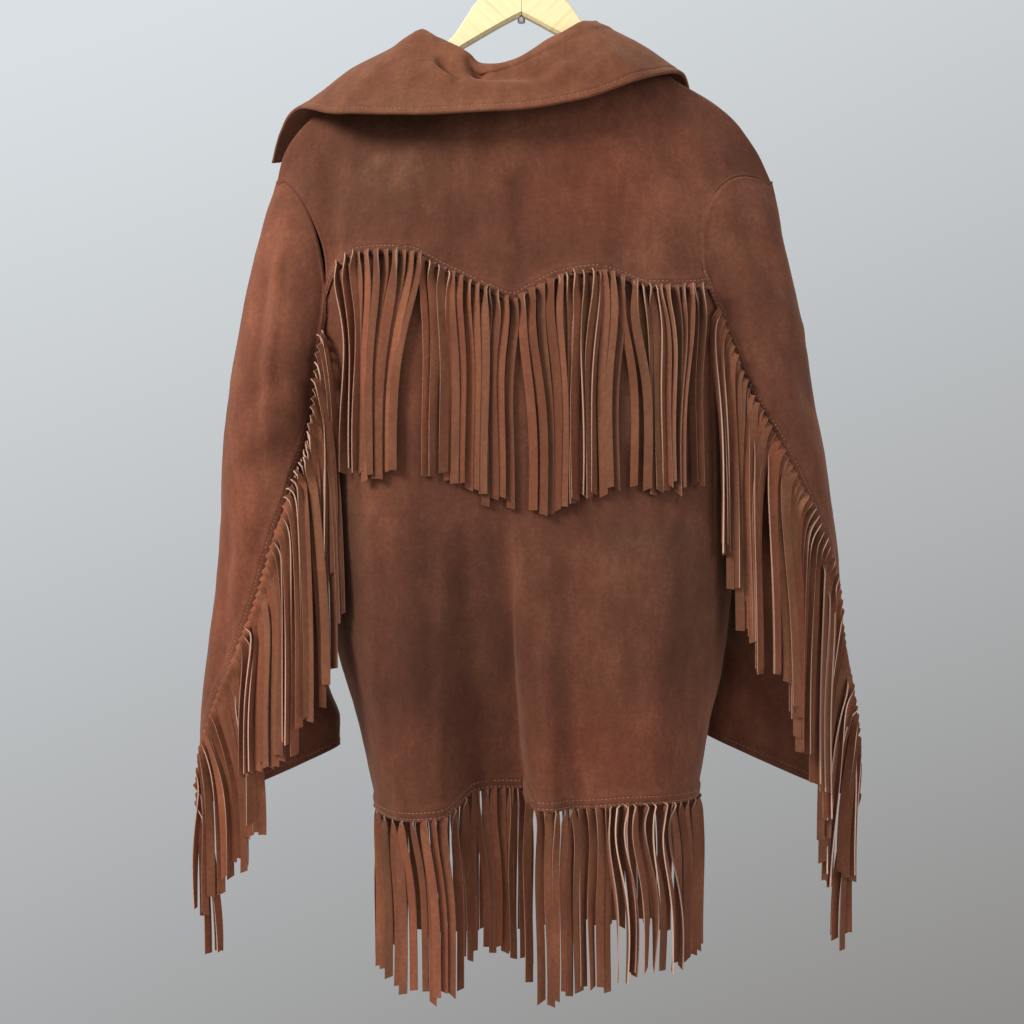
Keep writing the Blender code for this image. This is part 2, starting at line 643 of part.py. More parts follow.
def build_yoke_fringe():
    f = columns()[None, 1:-1]
    edge = yoke_edge(f)
    share = np.linspace(0.0, 1.0, YOKE_FRINGE_ROWS)[:, None]
    a = back_a(f, edge) + np.zeros_like(share)
    fall = body(a, edge)[..., 2] - body(a, 1.0)[..., 2]
    v = edge + share * YOKE_FRINGE / fall * (1.0 - edge)
    away = 0.5 * WALL + FRINGE_CLEAR * (0.4 + 0.6 * share)
    normals = body_normals(a, v)
    inner = body(a, v) + away[..., None] * normals
    inner = trim(inner, ("top",), 2.0 * GAP)
    thick = (WALL + (FRINGE_THICK - WALL) * share)[..., None]
    add_fringe("yoke_fringe", inner, normals, thick)


def build_sleeve_fringe(word, rows, side, reach, cloud):
    u = np.linspace(0.0, 1.0, SLEEVE_FRINGE_COLUMNS)
    k = 0.02 + 0.97 * u
    rear = smooth(rows, "k", "rear", k)
    normals = sleeve_normals(rows, side, rear, k)
    roots = sleeve(rows, side, rear, k) + (0.5 * WALL + FRINGE_CLEAR) * normals
    ends = roots.copy()
    ends[:, 0] -= side * smooth(reach, "u", "fan", u)
    ends[:, 2] -= smooth(reach, "u", "length", u)
    lines = hang(roots, ends, cloud, SLEEVE_FRINGE_ROWS)
    flat = np.broadcast_to(np.array([0.0, 1.0, 0.0]), lines.shape)
    add_fringe("sleeve_fringe_" + word, lines, flat, FRINGE_THICK)


def build_hem_fringe():
    front = front_columns()[None, :]
    share = np.linspace(0.0, 1.0, HEM_FRINGE_ROWS)[:, None]
    for name, a in (
        ("hem_fringe_back", columns()[None, :]),
        ("hem_fringe_front_left", 2.0 - front),
        ("hem_fringe_front_right", front - 2.0),
    ):
        edge = body(a, 1.0)
        normals = body_normals(a, 1.0)
        normals[..., 2] = 0.0
        normals = unit(normals)
        points = edge + np.zeros_like(share)[..., None]
        points[..., 2] -= 2.0 * GAP + (HEM_FRINGE - 2.0 * GAP) * share
        points = trim(points, ("start", "end"), 0.5 * GAP)
        half = 0.5 * (WALL + (FRINGE_THICK - WALL) * share)[..., None]
        add_wall(name, points + half * normals, points - half * normals, FRINGE_COLOUR)


# ---------------------------------------------------------------- hanger
def build_hanger():
    near = np.linspace(ARM[0].x, ARM_BEND[0], ARM_SECTIONS)
    far = np.linspace(ARM_BEND[1], ARM[-1].x, ARM_SECTIONS)
    x = np.concatenate([near, far])
    top = smooth(ARM, "x", "top", x)
    foot = smooth(ARM, "x", "foot", x)
    inset = WOOD_HALF - WOOD_BEVEL
    for word, side in (("left", 1.0), ("right", -1.0)):
        lift = 0.0 if side > 0.0 else RIGHT_LIFT
        raised = lift * ease(*LIFT_START, x) * (1.0 - LIFT_FADE_SHARE * ease(*LIFT_FADE, x))
        sections = []
        for i, at in enumerate(x):
            high, low = top[i] + raised[i], foot[i] + raised[i]
            outline = [
                (inset, high),
                (WOOD_HALF, high - WOOD_BEVEL),
                (WOOD_HALF, low + WOOD_BEVEL),
                (inset, low),
                (-inset, low),
                (-WOOD_HALF, low + WOOD_BEVEL),
                (-WOOD_HALF, high - WOOD_BEVEL),
                (-inset, high),
            ]
            sections.append(np.array([(side * at, y, z) for y, z in outline]))
        arm = add_loft("hanger_" + word, sections, WOOD, 0.45)
        cut_bore(arm)


def prism(sides, radius, foot, top):
    """The two end rings of an upright prism about the stem."""
    turn = np.arange(sides) * 2.0 * np.pi / sides
    flat = np.stack([radius * np.cos(turn), radius * np.sin(turn)], -1)
    return [np.concatenate([flat, np.full((sides, 1), z)], -1) for z in (foot, top)]


def cut_bore(arm):
    """Opens the stem's hole where the two arms meet."""
    cutter = add_loft(arm.name + "_bore", prism(BORE_SIDES, STEM_BORE, BORE_FOOT, BORE_TOP), WOOD, 0.5)
    cutter.hide_render = True
    cutter.display_type = "WIRE"
    cut = arm.modifiers.new("bore", "BOOLEAN")
    cut.operation = "DIFFERENCE"
    cut.object = cutter


def build_hook():
    """Bent steel wire: a stem through the wood, and a hook that opens towards -X."""
    radius = HOOK_INSIDE + HOOK_WIRE
    turn = np.radians(np.linspace(HOOK_START, HOOK_TIP, HOOK_POINTS))
    path = [(row.x, row.z) for row in STEM]
    path += [(radius * np.cos(t), radius * np.sin(t) - HOOK_INSIDE) for t in turn]
    curve = bpy.data.curves.new("hanger_hook", "CURVE")
    curve.dimensions = "3D"
    curve.bevel_depth = HOOK_WIRE
    curve.bevel_resolution = 2
    curve.use_fill_caps = True
    line = curve.splines.new("POLY")
    line.points.add(len(path) - 1)
    for point, (x, z) in zip(line.points, path):
        point.co = (x, 0.0, z, 1.0)
    hook = bpy.data.objects.new("hanger_hook", curve)
    bpy.context.scene.collection.objects.link(hook)
    curve.materials.append(material("hanger_hook_finish", STEEL, 0.3, 1.0))
    add_loft("hanger_nut", prism(6, NUT_RADIUS, NUT_FOOT, NUT_TOP), STEEL, 0.35, 1.0)


def main():
    for old in list(bpy.data.objects):
        bpy.data.objects.remove(old)
    build_body()
    build_sleeve("left", LEFT_SLEEVE, 1.0)
    build_sleeve("right", RIGHT_SLEEVE, -1.0)
    build_collar()
    cloud = cloth_behind()
    build_yoke_fringe()
    build_sleeve_fringe("left", LEFT_SLEEVE, 1.0, LEFT_REACH, cloud)
    build_sleeve_fringe("right", RIGHT_SLEEVE, -1.0, RIGHT_REACH, cloud)
    build_hem_fringe()
    build_hanger()
    build_hook()


main()
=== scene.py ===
"""Looks of the fringed buckskin jacket: thin suede shells on the forms of its solids, cut
strips, stitching, and finishes for its wooden hanger.

Metres, +Z up. The front faces -Y and the wearer's left is +X. The tables and functions of the
body, the sleeves and the collar say the same as the solids do, so that each shell lies on its
own solid's form.
"""

from collections import namedtuple
from itertools import product

import bmesh
import bpy
import numpy as np
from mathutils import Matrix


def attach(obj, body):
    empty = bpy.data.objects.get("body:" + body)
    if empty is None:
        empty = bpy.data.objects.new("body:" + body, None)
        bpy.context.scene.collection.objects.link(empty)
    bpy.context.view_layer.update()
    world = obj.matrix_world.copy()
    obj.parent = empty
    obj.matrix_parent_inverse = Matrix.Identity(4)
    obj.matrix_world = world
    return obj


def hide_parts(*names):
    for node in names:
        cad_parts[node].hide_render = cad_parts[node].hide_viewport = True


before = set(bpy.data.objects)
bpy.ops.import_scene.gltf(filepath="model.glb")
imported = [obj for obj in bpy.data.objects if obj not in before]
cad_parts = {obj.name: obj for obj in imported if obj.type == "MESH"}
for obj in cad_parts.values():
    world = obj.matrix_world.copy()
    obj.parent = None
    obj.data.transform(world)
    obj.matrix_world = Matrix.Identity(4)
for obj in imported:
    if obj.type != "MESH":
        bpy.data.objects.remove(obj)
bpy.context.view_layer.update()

# ---------------------------------------------------------------- driving dimensions
WALL = 0.0016            # suede
COLLAR_WALL = 0.0024     # collar, two layers
YOKE_START_V = 0.285     # a first guess of the yoke's lower edge
UNDERARM_V = 0.435       # share of the way from shoulder to hem
ARMHOLE_FULLNESS = 0.8   # below 1, an armhole's curve keeps its depth nearer to its ends
FLAT_SHARE = 0.45        # share of each quarter section that is flat
REAR_LENS_LEFT = 0.280   # how far the armholes bite into the back
REAR_LENS_RIGHT = 0.400
FRONT_LENS = 0.320       # and into the fronts
FRONT_OPENING = 0.012    # how far each front stops short of the middle, in quarter sections
NECK_CENTRE = 0.0165
NECK_HALF = 0.1015
NECK_BACK = 0.055        # reach of the neck hole behind and before the shoulder ridge
NECK_FRONT = 0.066
NECK_DROP_BACK = 0.055   # how far it dips there
NECK_DROP_FRONT = 0.110
NECK_FADE_V = 0.45       # where the wall no longer shows the neck hole's reach
HEM_FRINGE = 0.178


# ---------------------------------------------------------------- tables
def rows_of(kind, *rows):
    return tuple(kind(*row) for row in rows)


# Crest of the shoulders from the wearer's right to left.
Crest = namedtuple("Crest", "x z")
CREST = rows_of(
    Crest,
    (-0.2645, -0.2958), (-0.25, -0.265), (-0.2263, -0.2309), (-0.2039, -0.2106), (-0.1709, -0.1915),
    (-0.085, -0.141), (0.118, -0.165), (0.17, -0.1925), (0.2075, -0.215), (0.235, -0.24),
    (0.252, -0.268), (0.259, -0.2968),
)

# Sections of the body by v, the share of the way from crest to hem: the middle's x, the
# flat and the rounded part of each quarter, and the reach of the back and the front.
Body = namedtuple("Body", "v middle flat round back front")
BODY = rows_of(
    Body,
    (0.00, -0.003, 0.130, 0.1318, 0.000, 0.000),
    (0.01, -0.003, 0.130, 0.1319, 0.010, 0.009),
    (0.04, -0.004, 0.128, 0.1330, 0.022, 0.020),
    (0.09, -0.004, 0.127, 0.1330, 0.038, 0.034),
    (0.15, -0.005, 0.125, 0.1330, 0.054, 0.048),
    (0.30, -0.008, 0.118, 0.1180, 0.079, 0.070),
    (0.42, -0.010, 0.112, 0.1040, 0.090, 0.084),
    (0.60, -0.010, 0.110, 0.1040, 0.095, 0.098),
    (0.75, -0.012, 0.106, 0.0990, 0.097, 0.104),
    (0.88, -0.015, 0.096, 0.0880, 0.099, 0.109),
    (1.00, -0.017, 0.086, 0.0830, 0.100, 0.112),
)

# Lower edge of the yoke: two scallops that meet in a point. Heights at the middle of the
# back's wall, against the share of the way from one armhole to the other.
Scallop = namedtuple("Scallop", "f z")
SCALLOPS = rows_of(
    Scallop,
    (-1.0, -0.42), (-0.5, -0.424), (-0.36, -0.412), (-0.26, -0.407), (-0.12, -0.412),
    (0.07, -0.431), (0.15, -0.423), (0.31, -0.404), (0.48, -0.387), (0.64, -0.386), (0.8, -0.395),
    (1.0, -0.432),
)

# Cut edge of the body round from the front's middle, over the right side.
Hem = namedtuple("Hem", "a z")
HEM = rows_of(
    Hem,
    (-2.0, -0.945), (-1.0, -0.944), (-0.5, -0.938), (-0.2, -0.943), (0.2, -0.943), (0.45, -0.951),
    (0.75, -0.957), (1.0, -0.957), (2.0, -0.945),
)

# Soft folds: where one runs at its start and at the hem, how wide each flank is, and how
# deep it gets at mid-height and at the hem. side is 1 on the back and -1 on the fronts.
Fold = namedtuple("Fold", "side start x_start x_hem flank depth_mid depth_hem")
FOLDS = rows_of(
    Fold,
    (1, 0.62, -0.050, -0.056, 0.020, 0.004, 0.009),
    (1, 0.66, 0.120, 0.112, 0.028, -0.003, -0.006),
    (1, 0.60, -0.018, -0.030, 0.014, -0.003, -0.008),
    (-1, 0.45, 0.095, 0.082, 0.026, 0.006, 0.014),
    (-1, 0.55, 0.045, 0.040, 0.020, -0.003, -0.008),
    (-1, 0.50, -0.115, -0.098, 0.026, 0.007, 0.016),
    (-1, 0.60, -0.060, -0.052, 0.020, -0.003, -0.007),
)
# The deep fold at the back's middle: the right side laps over a recess on the left.
LAP_START = 0.52
LAP_EDGE_TOP = 0.010
LAP_EDGE_HEM = -0.010
LAP_EDGE_WIDTH = 0.006
RECESS_FAR_SIDE = 0.066
RECESS_FLANK = 0.018
RECESS_MID = 0.010
RECESS_HEM = 0.044
RECESS_RISE = 0.014      # the hem is pulled up in the recess
RECESS_RISE_START = 0.7

# Sleeves, ring by ring from armhole to cuff. Each ring runs from its inner side to its
# outer side in x (away from the middle) and z; y and depth place it front to back; rear
# and front are the turns of the two seams, with 0 on the inner side and 90 behind; join
# is how much of the armhole's own outline is left in the ring.
Ring = namedtuple("Ring", "k outer_x outer_z inner_x inner_z y depth rear front join")
LEFT_SLEEVE = rows_of(
    Ring,
    (0.00, 0.259, -0.297, 0.209, -0.575, 0.000, 0.070, 72, 270, 1.00),
    (0.06, 0.270, -0.331, 0.213, -0.584, 0.003, 0.071, 56, 272, 0.66),
    (0.13, 0.282, -0.376, 0.214, -0.594, 0.005, 0.072, 44, 274, 0.36),
    (0.22, 0.296, -0.445, 0.212, -0.608, 0.005, 0.072, 45, 277, 0.12),
    (0.31, 0.307, -0.511, 0.210, -0.627, 0.002, 0.071, 53, 280, 0.00),
    (0.41, 0.316, -0.579, 0.210, -0.657, -0.004, 0.069, 62, 283, 0.00),
    (0.51, 0.321, -0.650, 0.210, -0.698, -0.014, 0.064, 78, 286, 0.00),
    (0.61, 0.328, -0.718, 0.211, -0.745, -0.024, 0.058, 91, 290, 0.00),
    (0.71, 0.339, -0.788, 0.211, -0.790, -0.034, 0.052, 108, 294, 0.00),
    (0.81, 0.348, -0.850, 0.212, -0.833, -0.042, 0.046, 130, 298, 0.00),
    (0.90, 0.352, -0.905, 0.200, -0.872, -0.048, 0.041, 152, 302, 0.00),
    (1.00, 0.352, -0.968, 0.201, -0.903, -0.052, 0.036, 170, 306, 0.00),
)
RIGHT_SLEEVE = rows_of(
    Ring,
    (0.00, 0.265, -0.297, 0.228, -0.575, 0.000, 0.070, 72, 270, 1.00),
    (0.06, 0.274, -0.336, 0.232, -0.584, 0.001, 0.071, 60, 272, 0.66),
    (0.13, 0.280, -0.376, 0.233, -0.594, 0.002, 0.072, 57, 274, 0.36),
    (0.22, 0.291, -0.430, 0.232, -0.608, 0.001, 0.072, 64, 277, 0.12),
    (0.31, 0.302, -0.487, 0.231, -0.627, -0.001, 0.071, 76, 280, 0.00),
    (0.41, 0.315, -0.552, 0.231, -0.655, -0.006, 0.069, 90, 283, 0.00),
    (0.51, 0.328, -0.622, 0.228, -0.694, -0.014, 0.064, 110, 286, 0.00),
    (0.61, 0.341, -0.702, 0.225, -0.738, -0.026, 0.058, 133, 290, 0.00),
    (0.71, 0.351, -0.780, 0.223, -0.784, -0.038, 0.052, 146, 294, 0.00),
    (0.81, 0.362, -0.840, 0.217, -0.828, -0.048, 0.046, 160, 298, 0.00),
    (0.90, 0.367, -0.898, 0.209, -0.862, -0.055, 0.041, 168, 302, 0.00),
    (1.00, 0.368, -0.962, 0.205, -0.892, -0.060, 0.036, 174, 306, 0.00),
)

# Collar from the wearer's left front end, round the back, to the right: its seam on the
# neck hole, its top fold, and its outer edge.
Spread = namedtuple("Spread", "c seam fold edge")
COLLAR = rows_of(
    Spread,
    (0.00, (0.098, -0.064, -0.252), (0.100, -0.073, -0.246), (0.274, -0.054, -0.262)),
    (0.14, (0.117, -0.036, -0.196), (0.121, -0.040, -0.184), (0.262, -0.026, -0.242)),
    (0.26, (0.116, 0.004, -0.157), (0.114, 0.001, -0.143), (0.235, 0.016, -0.223)),
    (0.36, (0.104, 0.030, -0.167), (0.106, 0.022, -0.142), (0.186, 0.073, -0.244)),
    (0.48, (0.064, 0.047, -0.190), (0.067, 0.044, -0.165), (0.092, 0.094, -0.249)),
    (0.60, (0.013, 0.053, -0.199), (0.012, 0.054, -0.180), (0.013, 0.094, -0.246)),
    (0.71, (-0.034, 0.046, -0.180), (-0.033, 0.044, -0.156), (-0.058, 0.086, -0.233)),
    (0.80, (-0.069, 0.028, -0.154), (-0.067, 0.020, -0.131), (-0.116, 0.062, -0.208)),
    (0.87, (-0.083, 0.003, -0.134), (-0.082, 0.000, -0.127), (-0.170, 0.009, -0.1845)),
    (0.94, (-0.083, -0.036, -0.172), (-0.088, -0.040, -0.162), (-0.188, -0.050, -0.226)),
    (1.00, (-0.063, -0.064, -0.240), (-0.066, -0.073, -0.234), (-0.190, -0.082, -0.290)),
)
COLLAR_CROWN = 0.005     # how far the fall arches between its fold and its edge
COLLAR_ROLL = 0.002      # the roll stands this far above the fold
COLLAR_ROLL_OUT = 0.004  # and this far out from it
COLLAR_ROLL_SHARE = 0.04
COLLAR_FALL = (0.22, 0.48, 0.74, 1.0)
COLLAR_STAND_SHARE = 0.16  # share of the collar from its seam to its roll

# ---------------------------------------------------------------- looks: sizes
THREAD = 0.0009          # thickness of the sewing thread
STITCH = 0.0030          # length of a stitch
STITCH_PITCH = 0.0043
STRIP_PITCH = 0.0090     # strips are cut this far apart
STRIP_WIDTH = 0.0088
STRIP_THICK = 0.0014
STRIP_ROWS = 24          # points down each strip
SEAM_GAP = 0.0006        # between a sleeve's edge and its armhole
LAP_RISE = 0.0022        # a lapped edge stands up by this much, over the fringe's root
ROOT_TUCK = 0.0030       # how far a strip's root lies in under the lapped edge
STRIP_SPREAD = (0.80, 1.07)  # how narrow and how wide single strips are cut
STRIP_SLANT = 0.0012     # of their ends
STRIP_SPRING = 0.085     # share of a strip that springs from its seam before it hangs
STRIP_TONE = 0.13        # how much lighter or darker, and redder or greyer, single strips are
STRIP_WARM = 0.35
STRIP_SHARP = np.radians(50.0)  # strips' corners stay crisp
STRIP_LIFT = 0.5 * (WALL + STRIP_THICK) + 0.0002  # from the middle of the cloth to a strip's
YOKE_LAYER = 0.0011      # the lowest layer's height over the cloth
SLEEVE_LAYER = 0.0012
YOKE_TURN = (48.0, 80.0)  # how far the yoke's strips turn at their roots
BACK_HEM_TURN = 42.0     # how far the hem's strips turn at least at their roots
FRONT_HEM_TURN = 10.0
FRONT_HEM_SHORT = 0.008  # by which the fronts' strips fall short of their slab
LAYERS = 3               # strips lie in this many layers, by turns
LAYER_STEP = 0.0016
YOKE_EDGE_PALE_AND_LIT = 0.45         # how pale the strips' edges get: their own paler cut colour, and painted light where they turn edge on
HEM_EDGE_PALE_AND_LIT = 0.9
DOWN_STRIP = np.linspace(0.0, 1.0, STRIP_ROWS)
SKIPPED = 0.03           # share of the stitches that don't show
COLLAR_LINES = (190, 34)  # lines across and down, beside the edge lines
CELL = 0.004             # of the maps that strips lie on
MAP_LOW = np.array([-0.45, -1.25])  # x and z of the maps' corner
MAP_SIZE = np.array([0.90, 1.20])

# Lines beside every edge, so that seams and stitch rows keep their shape.
EDGE_LINES = np.array((
    0.0001, 0.0008, 0.0017, 0.0025, 0.0033, 0.0045, 0.0060,
    0.0075, 0.0085, 0.0095, 0.0112, 0.0135, 0.0165,
))
LAPPED_ROWS = (3, 8)     # the lines that a lapped edge's two stitch rows follow
FACED_ROWS = (6,)
SIDES = (("left", 1.0), ("right", -1.0))

# ---------------------------------------------------------------- looks: tables
# Soft creases, as x and z of both ends, how far each bows to the side, how wide it is, how
# high it stands (a trough is below 0), and whether it is on what faces back (1) or front.
Crease = namedtuple("Crease", "x1 z1 x2 z2 bow width depth side")
CREASES = rows_of(
    Crease,
    (-0.006, -0.255, -0.004, -0.47, 0.002, 0.017, -0.0042, 1),
    (0.018, -0.255, 0.018, -0.44, 0.0, 0.013, 0.003, 1),
    (-0.106, -0.29, -0.11, -0.455, 0.003, 0.016, -0.0042, 1),
    (0.196, -0.25, 0.188, -0.42, 0.006, 0.014, -0.0096, 1),
    (0.15, -0.215, 0.192, -0.33, -0.01, 0.012, -0.004, 1),
    (-0.13, -0.225, -0.205, -0.33, 0.012, 0.014, -0.0048, 1),
    (-0.165, -0.235, -0.225, -0.29, 0.004, 0.01, 0.0035, 1),
    (0.09, -0.24, 0.12, -0.36, 0.008, 0.016, 0.0032, 1),
    (0.148, -0.59, 0.14, -0.9, 0.004, 0.01, 0.0048, 1),
    (0.1, -0.6, 0.088, -0.93, -0.006, 0.014, -0.0032, 1),
    (-0.09, -0.52, -0.1, -0.93, 0.008, 0.02, 0.004, 1),
    (-0.15, -0.56, -0.165, -0.9, -0.006, 0.016, -0.004, 1),
    (-0.185, -0.6, -0.14, -0.7, 0.004, 0.01, 0.0024, 1),
    (-0.13, -0.64, -0.195, -0.72, 0.01, 0.012, -0.0029, 1),
    (0.006, -0.64, -0.013, -0.96, 0.002, 0.006, 0.0062, 1),
    (0.2405, -0.325, 0.258, -0.62, 0.006, 0.0055, 0.0048, 1),
    (0.252, -0.33, 0.272, -0.6, 0.006, 0.008, -0.0035, 1),
    (0.225, -0.5, 0.3, -0.56, 0.006, 0.014, -0.004, 1),
    (0.235, -0.56, 0.305, -0.6, 0.004, 0.012, 0.0032, 1),
    (0.3, -0.64, 0.32, -0.86, 0.004, 0.012, -0.0048, 1),
    (0.275, -0.62, 0.3, -0.78, 0.004, 0.014, 0.004, 1),
    (0.215, -0.84, 0.26, -0.9, 0.004, 0.012, -0.004, 1),
    (-0.225, -0.32, -0.28, -0.44, 0.008, 0.014, -0.0048, 1),
    (-0.255, -0.42, -0.3, -0.47, 0.004, 0.012, 0.0035, 1),
    (-0.262, -0.47, -0.31, -0.56, -0.004, 0.013, -0.0048, 1),
    (-0.3, -0.56, -0.335, -0.72, 0.006, 0.012, 0.004, 1),
    (-0.215, -0.78, -0.3, -0.87, 0.006, 0.014, -0.0048, 1),
    (0.06, -0.33, 0.075, -0.62, 0.01, 0.016, -0.0064, -1),
    (0.12, -0.3, 0.1, -0.56, -0.008, 0.018, 0.0048, -1),
    (0.1, -0.62, 0.09, -0.93, 0.006, 0.016, -0.0064, -1),
    (-0.07, -0.32, -0.085, -0.6, -0.01, 0.016, -0.0064, -1),
    (-0.12, -0.33, -0.11, -0.56, 0.01, 0.018, 0.0048, -1),
    (-0.095, -0.64, -0.08, -0.92, -0.006, 0.018, -0.0064, -1),
    (0.165, -0.42, 0.15, -0.56, 0.006, 0.012, -0.0048, -1),
    (-0.17, -0.43, -0.15, -0.57, -0.006, 0.012, -0.0048, -1),
    (0.27, -0.33, 0.3, -0.62, 0.006, 0.014, -0.0064, -1),
    (0.235, -0.56, 0.3, -0.61, 0.006, 0.014, -0.0064, -1),
    (0.24, -0.7, 0.31, -0.76, 0.004, 0.014, -0.0048, -1),
    (-0.27, -0.33, -0.3, -0.62, -0.006, 0.014, -0.0064, -1),
    (-0.235, -0.56, -0.31, -0.6, 0.006, 0.014, -0.0064, -1),
    (-0.24, -0.7, -0.32, -0.75, 0.004, 0.014, -0.0048, -1),
)
# The collar's crumple beside the dip in its fold, and its softer waves.
COLLAR_CREASES = rows_of(
    Crease,
    (0.09, -0.18, 0.056, -0.212, 0.001, 0.0065, -0.011, 1),
    (0.101, -0.1865, 0.062, -0.216, 0.001, 0.007, 0.005, 1),
    (0.052, -0.174, 0.042, -0.206, 0.0, 0.0075, -0.01, 1),
    (0.062, -0.2035, -0.045, -0.2, 0.002, 0.0095, -0.0055, 1),
    (0.066, -0.215, -0.025, -0.2175, 0.001, 0.0075, 0.0035, 1),
    (-0.025, -0.217, -0.05, -0.188, 0.002, 0.009, 0.0035, 1),
    (-0.079, -0.17, -0.129, -0.2056, 0.004, 0.0144, 0.0041, 1),
    (0.194, -0.231, 0.133, -0.19, 0.004, 0.0168, 0.0027, 1),
)
# The collar's fold dips: x of the dip, how wide it is towards either side, and how deep.
DIP_X = 0.041
DIP_WIDTHS = (0.030, 0.015)
DIP_DEPTH = 0.0105
DIP_FADE = (-0.222, -0.182)  # heights between which it comes in

# Where the suede is lighter or darker (tone) and redder or greyer (warm), in soft spots. Much
# of the tone is the nap's own, but some of it is painted light and shade: painted shade on the
# body's left side under the sleeve and along the left of the back's middle fold, painted light
# on the lower-left fringe, and, partly painted, the darker lower back and the lighter left sleeve.
Patch = namedtuple("Patch", "x z wide high tone warm side")
NAP_AND_PAINTED_LIGHT_SPOTS = rows_of(
    Patch,
    (0.161, -0.336, 0.05, 0.05, -0.1, -0.1, 1), (-0.068, -0.326, 0.06, 0.04, 0.07, 0.3, 1),
    (-0.167, -0.257, 0.035, 0.022, 0.14, 0.0, 1), (0.146, -0.635, 0.02, 0.07, 0.16, 0.2, 1),
    # (0.082, -0.78) is darker partly for the nap and partly as painted shade; (0.024, -0.79) is
    # painted shade along the left of the back's middle fold.
    (0.082, -0.78, 0.06, 0.15, -0.46, 0.1, 1), (0.024, -0.79, 0.016, 0.14, -0.16, 0.0, 1),
    # (0.177, -0.7) is painted shade on the body's left side, under the sleeve.
    (0.0, -1.06, 0.25, 0.07, 0.2, 0.6, 1), (0.177, -0.7, 0.02, 0.13, -0.5, -0.3, 1),
    (0.14, -0.48, 0.06, 0.09, 0.12, 0.5, 1), (-0.11, -0.52, 0.07, 0.09, -0.12, -0.5, 1),
    (0.14, -0.285, 0.07, 0.06, -0.03, -0.7, 1), (-0.1, -0.28, 0.075, 0.085, 0.04, 0.6, 1),
    (-0.255, -0.83, 0.06, 0.07, 0.34, 0.1, 1), (-0.06, -0.7, 0.018, 0.12, -0.12, 0.3, 1),
    (-0.118, -0.675, 0.055, 0.022, 0.07, -0.8, 1), (-0.177, -0.74, 0.035, 0.08, -0.12, -0.7, 1),
    (-0.085, -0.89, 0.1, 0.055, 0.12, 0.8, 1), (0.131, -0.89, 0.05, 0.06, 0.04, 0.5, 1),
    # (0.305, -0.69) is lighter partly for the nap and partly as painted light on the left sleeve;
    # (0.305, -0.96) is painted light on the lower-left fringe.
    (0.305, -0.69, 0.058, 0.17, 0.36, 0.9, 1), (0.305, -0.96, 0.05, 0.11, 0.32, 0.6, 1),
    (0.266, -0.545, 0.035, 0.04, -0.1, 0.1, 1), (0.266, -0.395, 0.044, 0.11, 0.58, 0.2, 1),
    (-0.115, -0.192, 0.075, 0.036, -0.27, 0.1, 1), (-0.285, -0.455, 0.035, 0.045, -0.06, -0.2, 1),
    (-0.265, -0.38, 0.03, 0.04, 0.08, 0.2, 1), (-0.3, -0.54, 0.05, 0.13, 0.24, 0.1, 1),
    (0.01, -0.38, 0.006, 0.004, 0.3, -0.3, 1), (0.146, -0.284, 0.009, 0.005, 0.28, -0.3, 1),
    (0.182, -0.282, 0.003, 0.002, 0.35, -0.3, 1), (0.1, -0.45, 0.06, 0.12, -0.08, 0.0, -1),
    (-0.08, -0.76, 0.05, 0.12, 0.1, 0.4, -1), (0.09, -0.78, 0.04, 0.11, 0.08, 0.2, -1),
)

# The yoke's strips hang in locks: x of a lock's outer roots and of its outer feet, how far
# down the feet are, how far its strips turn edge on, and how much they sway.
Lock = namedtuple("Lock", "root1 root2 foot1 foot2 foot turn sway")
YOKE_LOCKS = rows_of(
    Lock,
    (0.185, 0.167, 0.179, 0.1665, -0.606, 70, 0.004), (0.166, 0.127, 0.162, 0.147, -0.61, 42, 0.003),
    (0.1265, 0.103, 0.144, 0.129, -0.608, 30, 0.003), (0.099, 0.0705, 0.096, 0.072, -0.611, 26, 0.002),
    (0.07, 0.036, 0.067, 0.039, -0.624, 28, 0.002), (0.035, 0.008, 0.037, 0.011, -0.636, 30, 0.003),
    (0.0, -0.039, -0.0125, -0.043, -0.648, 26, 0.003),
    (-0.04, -0.054, -0.047, -0.054, -0.636, 40, 0.002),
    (-0.055, -0.081, -0.058, -0.07, -0.629, 48, 0.003),
    (-0.082, -0.098, -0.0815, -0.093, -0.626, 26, 0.003),
    (-0.1, -0.113, -0.113, -0.124, -0.625, 30, 0.004),
    (-0.114, -0.137, -0.129, -0.142, -0.625, 34, 0.003),
    (-0.138, -0.17, -0.148, -0.161, -0.624, 48, 0.003),
    (-0.172, -0.18, -0.172, -0.179, -0.62, 30, 0.003),
)
# The same for the back's hem.
HEM_LOCKS = rows_of(
    Lock,
    (0.156, 0.12, 0.15, 0.118, -1.125, 16, 0.0015), (0.119, 0.098, 0.105, 0.086, -1.128, 24, 0.0015),
    (0.097, 0.07, 0.085, 0.064, -1.124, 30, 0.0015), (0.069, 0.048, 0.059, 0.048, -1.098, 34, 0.002),
    (0.047, 0.011, 0.035, 0.012, -1.092, 26, 0.0015),
    (0.01, -0.0065, 0.008, -0.0105, -1.104, 24, 0.002),
    (-0.009, -0.05, -0.0125, -0.048, -1.13, 20, 0.0015),
    (-0.051, -0.086, -0.056, -0.084, -1.124, 26, 0.002),
    (-0.087, -0.102, -0.095, -0.11, -1.11, 90, 0.004),
    (-0.103, -0.15, -0.111, -0.157, -1.106, 98, 0.005),
    (-0.151, -0.185, -0.156, -0.186, -1.1, 22, 0.0015),
)
